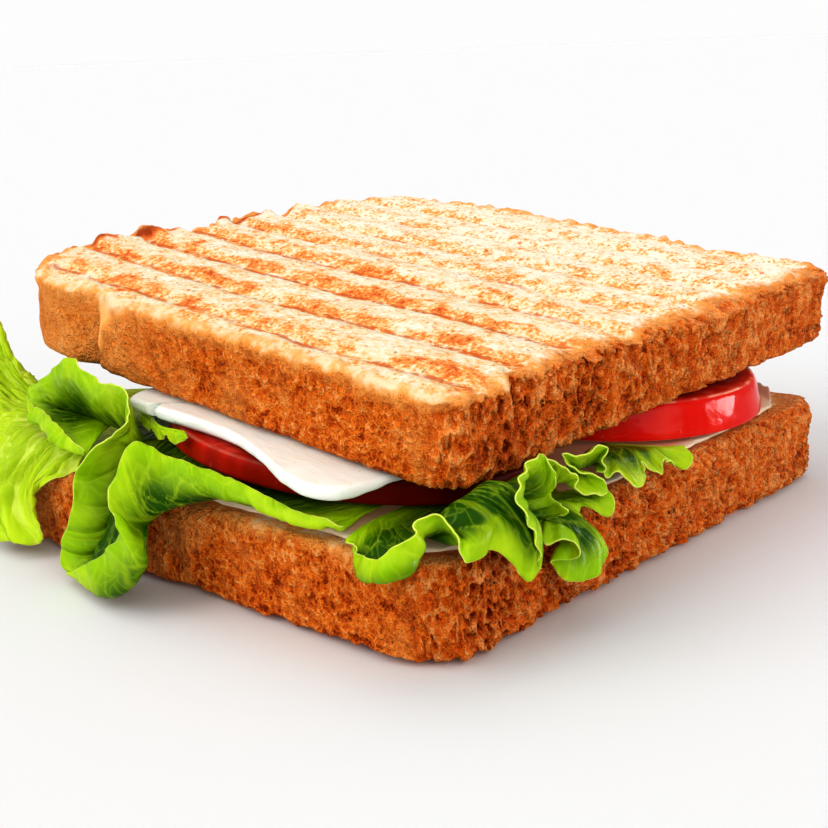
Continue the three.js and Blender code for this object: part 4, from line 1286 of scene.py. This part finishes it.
def leaf_places(leaf, columns, rows, inner_rows):
    """Points of a leaf by column and row, from its heart to its edge."""
    across = np.linspace(0, 1, columns + 1)
    edge = leaf["edge"]
    stations = np.linspace(0, 1, len(edge))
    roots = smooth_line(leaf["root"], stations)
    turns = [
        row[3:6] if len(row) > 3 else root + STRAIGHT_TURN * (np.array(row[:3]) - root)
        for row, root in zip(edge, roots)
    ]
    arches = [(index, *[*row[6:], 0, 0][:2]) for index, row in enumerate(edge)]
    rim = smooth_line([row[:3] for row in edge], across)
    turn = smooth_line(turns, across)
    arch = smooth_line(arches, across)
    leaving = smooth_line(leaf["root"], across)
    heart = smooth_line(leaf["heart"], across)
    outwards = turn[:, :2] - leaving[:, :2]
    outwards = outwards / np.maximum(np.linalg.norm(outwards, axis=1, keepdims=True), 1e-6)
    shoulder = (leaving + turn) / 2
    shoulder[:, 0] += arch[:, 2] * outwards[:, 1]
    shoulder[:, 1] -= arch[:, 2] * outwards[:, 0]
    shoulder[:, 2] = leaving[:, 2] + SHOULDER_CLIMB * (turn[:, 2] - leaving[:, 2]) + arch[:, 1]
    ways = smooth_line(np.stack([leaving, shoulder, turn, rim], axis=1), np.linspace(0, 1, rows + 1))
    steps = np.linspace(0, 1, inner_rows + 1)[:-1]
    inner = heart[:, None] + (leaving - heart)[:, None] * steps[None, :, None]
    return np.concatenate([inner, ways], axis=1)


def leaf_mesh(name, leaf, cells, frill, seed):
    """A leaf's surface with fine ruffles at its edge and blisters between its veins.

    The frill is the depth and the wavelength of its ruffles, and the depth of its blisters. Returns the
    mesh, and how far each of its points is from the leaf's rim.
    """
    columns, rows = cells
    ruffle, wavelength, blister = frill
    inner_rows = 4
    places = leaf_places(leaf, columns, rows, inner_rows)
    count = places.shape[1] - 1
    steps = np.linalg.norm(np.diff(places, axis=1), axis=2)
    to_rim = np.cumsum(steps[:, ::-1], axis=1)[:, ::-1]
    from_rim = np.concatenate([to_rim, np.zeros((columns + 1, 1))], axis=1)
    strides = np.linalg.norm(np.diff(places, axis=0), axis=2)
    along = np.concatenate([np.zeros((1, count + 1)), np.cumsum(strides, axis=0)])
    around = along[:, -1:]
    side = np.minimum(along, along[-1:] - along)
    normal = np.cross(np.gradient(places, axis=0), np.gradient(places, axis=1))
    normal = normal / np.maximum(np.linalg.norm(normal, axis=2, keepdims=True), 1e-9)

    # The surface is free to ruffle and blister outside the bread.
    loosening = smoothstep(np.linspace(0, 1, rows + 1), 0.15, 0.6)
    free = np.concatenate([np.zeros(inner_rows), loosening])[None, :]
    swell = crumb(around / 7, seed, 0.5)
    wave = np.sin(around * math.tau / wavelength + 5 * crumb(around / 9, 0.5, seed))
    push = ruffle * (0.2 + 1.2 * swell) * wave * np.exp(-from_rim / 2.2)
    bend = 1.2 * crumb(around / 9, from_rim / 7, seed + 2)
    vein = foam(around / 5 + bend, from_rim / 8 + bend, seed)
    push = push + blister * (smoothstep(vein, 0, 0.5) - 0.5)
    push = push + 0.8 * blister * (crumb(around / 3.4, from_rim / 3.0, seed) - 0.5)
    push = push + 0.4 * blister * (crumb(around / 1.5, from_rim / 1.8, seed + 3) - 0.5)
    places = places + normal * (push * free)[:, :, None]

    # The rim is frayed, and no part of the leaf goes through the floor.
    inwards = places[:, -3] - places[:, -1]
    inwards = inwards / np.maximum(np.linalg.norm(inwards, axis=1, keepdims=True), 1e-6)
    frayed = 0.7 * ruffle * crumb(around / 1.3, 2, seed) + 1.2 * ruffle * crumb(around / 3.1, 5, seed)
    places = places + inwards[:, None, :] * (frayed * np.exp(-from_rim / 1.2))[:, :, None]
    places[:, :, 2] = np.maximum(places[:, :, 2], 0.45)

    bm = bmesh.new()
    bmesh.ops.create_grid(bm, x_segments=columns, y_segments=count, size=1)
    mesh = to_mesh(bm, name)
    px, py, _ = places_of(mesh).T
    column = np.rint((px + 1) / 2 * columns).astype(int)
    row = np.rint((1 - py) / 2 * count).astype(int)
    set_places(mesh, places[column, row])
    rim = np.minimum(from_rim, side + 0.2)[column, row]
    write_attributes(mesh, rim=rim, vein=vein[column, row])
    write_uv(mesh, around[column, 0] / 100, from_rim[column, row] / 100)
    return mesh, rim


def thicken(leaf, rim, thickness):
    """Gives a leaf its thickness, which fades out towards the rim."""
    full = leaf.vertex_groups.new(name="full_thickness")
    for low, high, weight in ((0.0, 0.25, 0.0), (0.25, 0.8, 0.4), (0.8, 1.6, 0.75), (1.6, 1e9, 1.0)):
        chosen = np.nonzero((rim >= low) & (rim < high))[0]
        full.add(chosen.tolist(), weight, "REPLACE")
    wall = leaf.modifiers.new("Thickness", "SOLIDIFY")
    wall.thickness = thickness
    wall.offset = 0
    wall.vertex_group = full.name
    wall.thickness_vertex_group = 0.35


def back_leaf():
    """The back leaf's heart, root and edge, worked out round the bottom slice."""

    def round_the_back(share, outset):
        angle = math.radians(BACK_LEAF["start_angle"] - BACK_LEAF["sweep"] * share)
        dx = math.cos(angle)
        dy = math.sin(angle)
        reach = float(rounded_reach(dx, dy, 51, 52.3, BOTTOM_CORNERS)) + outset
        return dx * reach, dy * reach

    height = BACK_LEAF["height"]
    lean = BACK_LEAF["lean"]
    root = []
    edge = []
    for station in range(BACK_LEAF["stations"] + 1):
        share = station / BACK_LEAF["stations"]
        x, y = round_the_back(share, -BACK_LEAF["inset"])
        root.append((x, y, height - lean * (x + 40)))
        wave = share * BACK_LEAF["waves"] * math.tau
        outset = BACK_LEAF["reach"] + BACK_LEAF["swing"] * math.sin(wave * 0.5 + 1)
        x, y = round_the_back(share, outset)
        ruffle = math.sin(wave) + 0.35 * math.sin(1.7 * wave + 1)
        edge.append((x, y, height + BACK_LEAF["rise"] * ruffle - lean * (x + 40)))
    heart = [(-34, -4, 23), (-30, 20, 22), (-14, 32, 20), (-2, 36, 19)]
    return {"heart": heart, "root": root, "edge": edge}


class SANDWICH_OT_lettuce(bpy.types.Operator):
    """Grows the ruffled lettuce leaves"""

    bl_idname = "sandwich.lettuce"
    bl_label = "Lettuce"

    def execute(self, context):
        filling = context.scene.sandwich_filling
        # Three copies of the lettuce finish. The dark one carries more painted shade, for the leaves in
        # the shade of the bread. The pale one is paler, partly its own colour and partly painted light,
        # for the far leaf out in the open.
        leafy = leaf_finish("lettuce", filling, deep_at=9)
        pale = leaf_finish("lettuce_pale_lit", filling, deep_at=24, deep_share=0.4, pale=0.8)
        dark = leaf_finish("lettuce_shaded", filling, deep_at=5.5)
        leaves = (
            ("leaf_left", "lettuce_left", leafy, LEFT_LEAF, (464, 40), (0.35, 5.5, 0.45)),
            ("leaf_far", "lettuce_far", pale, FAR_LEAF, (304, 40), (0.7, 6.0, 1.1)),
            ("leaf_front", "lettuce_front", dark, FRONT_LEAF, (576, 30), (0.35, 3.4, 0.5)),
            ("leaf_right", "lettuce_right", dark, RIGHT_LEAF, (392, 16), (0.2, 2.8, 0.25)),
            ("leaf_upper", "lettuce_upper", leafy, UPPER_LEAF, (200, 10), (0.12, 2.2, 0.15)),
            ("leaf_back", "lettuce_back", leafy, back_leaf(), (400, 24), (0.5, 6.0, 0.6)),
        )
        for seed, (name, node, material, leaf, cells, frill) in enumerate(leaves, 1):
            mesh, rim = leaf_mesh(name, leaf, cells, frill, seed)
            thicken(add_piece(name, mesh, material, node), rim, filling.leaf_thickness)
        return {"FINISHED"}


# Studio.


class SANDWICH_OT_studio(bpy.types.Operator):
    """Sets the floor, the light and the camera"""

    bl_idname = "sandwich.studio"
    bl_label = "Studio"

    def execute(self, context):
        stage = context.scene.sandwich_stage
        bm = bmesh.new()
        bmesh.ops.create_grid(bm, x_segments=1, y_segments=1, size=60)
        mesh = to_mesh(bm, "floor")
        mesh.materials.append(floor_finish(stage))
        floor = bpy.data.objects.new("floor", mesh)
        context.collection.objects.link(floor)

        for name, strength, angle, towards in (
            ("key", stage.key, 60, (-0.35, 0.16, 0.92)),
            ("fill", stage.fill, 50, (-0.45, -0.72, 0.52)),
            ("side", stage.side, 50, (0.84, -0.3, 0.46)),
            ("glint", stage.glint, 24, (-0.1, 0.78, 0.62)),
            ("gleam", 3.5 * stage.glint, 26, (0.76, 0.62, 0.2)),
        ):
            light = bpy.data.lights.new(name, "SUN")
            light.energy = strength
            light.angle = math.radians(angle)
            lamp = bpy.data.objects.new(name, light)
            lamp.rotation_mode = "QUATERNION"
            lamp.rotation_quaternion = Vector(towards).to_track_quat("Z", "Y")
            lamp.visible_diffuse = name not in ("glint", "gleam")
            context.collection.objects.link(lamp)

        # The camera sees a plain backdrop, and the sandwich is lit by surroundings brighter above.
        world = bpy.data.worlds.new("studio")
        context.scene.world = world
        nodes = Nodes(world)
        direction = nodes.add("ShaderNodeTexCoord").outputs["Generated"]
        up = nodes.add("ShaderNodeSeparateXYZ", {0: direction}).outputs["Z"]
        dim = 0.7 * stage.surroundings
        bright = 1.05 * stage.surroundings
        glow = nodes.add("ShaderNodeMapRange", {"Value": up, "To Min": dim, "To Max": bright})
        around = nodes.add("ShaderNodeBackground", {"Color": (1, 1, 1), "Strength": glow.outputs[0]})
        seen = nodes.add("ShaderNodeBackground", {"Color": stage.backdrop, "Strength": 1.0})
        by_camera = nodes.add("ShaderNodeLightPath").outputs["Is Camera Ray"]
        either = {0: by_camera, 1: around.outputs[0], 2: seen.outputs[0]}
        blend = nodes.add("ShaderNodeMixShader", either)
        nodes.add("ShaderNodeOutputWorld", {"Surface": blend.outputs[0]})
        context.scene.view_settings.view_transform = "Standard"
        context.scene.view_settings.gamma = PICTURE_GAMMA

        lens = bpy.data.cameras.new("camera")
        lens.lens = CAMERA_LENS
        lens.sensor_width = 36
        lens.clip_start = 0.01
        camera = bpy.data.objects.new("camera", lens)
        heading = Matrix.Rotation(math.radians(CAMERA_HEADING), 4, "Z")
        dip = Matrix.Rotation(math.radians(90 - CAMERA_DIP), 4, "X")
        roll = Matrix.Rotation(math.radians(CAMERA_ROLL), 4, "Z")
        camera.matrix_world = Matrix.Translation(CAMERA_PLACE) @ heading @ dip @ roll
        context.collection.objects.link(camera)
        context.scene.camera = camera
        return {"FINISHED"}


class SANDWICH_PT_panel(bpy.types.Panel):
    """Lists the pieces of the sandwich in the order they are built"""

    bl_idname = "SANDWICH_PT_panel"
    bl_label = "Turkey Sandwich"
    bl_space_type = "VIEW_3D"
    bl_region_type = "UI"
    bl_category = "Sandwich"

    def draw(self, context):
        for step in STEPS:
            self.layout.operator(step.bl_idname)
        for settings in (
            context.scene.sandwich_bread,
            context.scene.sandwich_filling,
            context.scene.sandwich_stage,
        ):
            box = self.layout.box()
            for name in settings.__annotations__:
                box.prop(settings, name)


STEPS = (
    SANDWICH_OT_bottom_slice,
    SANDWICH_OT_lower_turkey,
    SANDWICH_OT_tomatoes,
    SANDWICH_OT_upper_turkey,
    SANDWICH_OT_lettuce,
    SANDWICH_OT_top_slice,
    SANDWICH_OT_studio,
)
SETTINGS = (
    ("sandwich_bread", BreadSettings),
    ("sandwich_filling", FillingSettings),
    ("sandwich_stage", StageSettings),
)


def register():
    for name, settings in SETTINGS:
        bpy.utils.register_class(settings)
        setattr(bpy.types.Scene, name, PointerProperty(type=settings))
    for item in (*STEPS, SANDWICH_PT_panel):
        bpy.utils.register_class(item)


def unregister():
    for item in reversed((*STEPS, SANDWICH_PT_panel)):
        bpy.utils.unregister_class(item)
    for name, settings in reversed(SETTINGS):
        delattr(bpy.types.Scene, name)
        bpy.utils.unregister_class(settings)


def main():
    register()
    bpy.ops.sandwich.bottom_slice()
    bpy.ops.sandwich.lower_turkey()
    bpy.ops.sandwich.tomatoes()
    bpy.ops.sandwich.upper_turkey()
    bpy.ops.sandwich.lettuce()
    bpy.ops.sandwich.top_slice()
    bpy.ops.sandwich.studio()


if __name__ == "__main__":
    main()
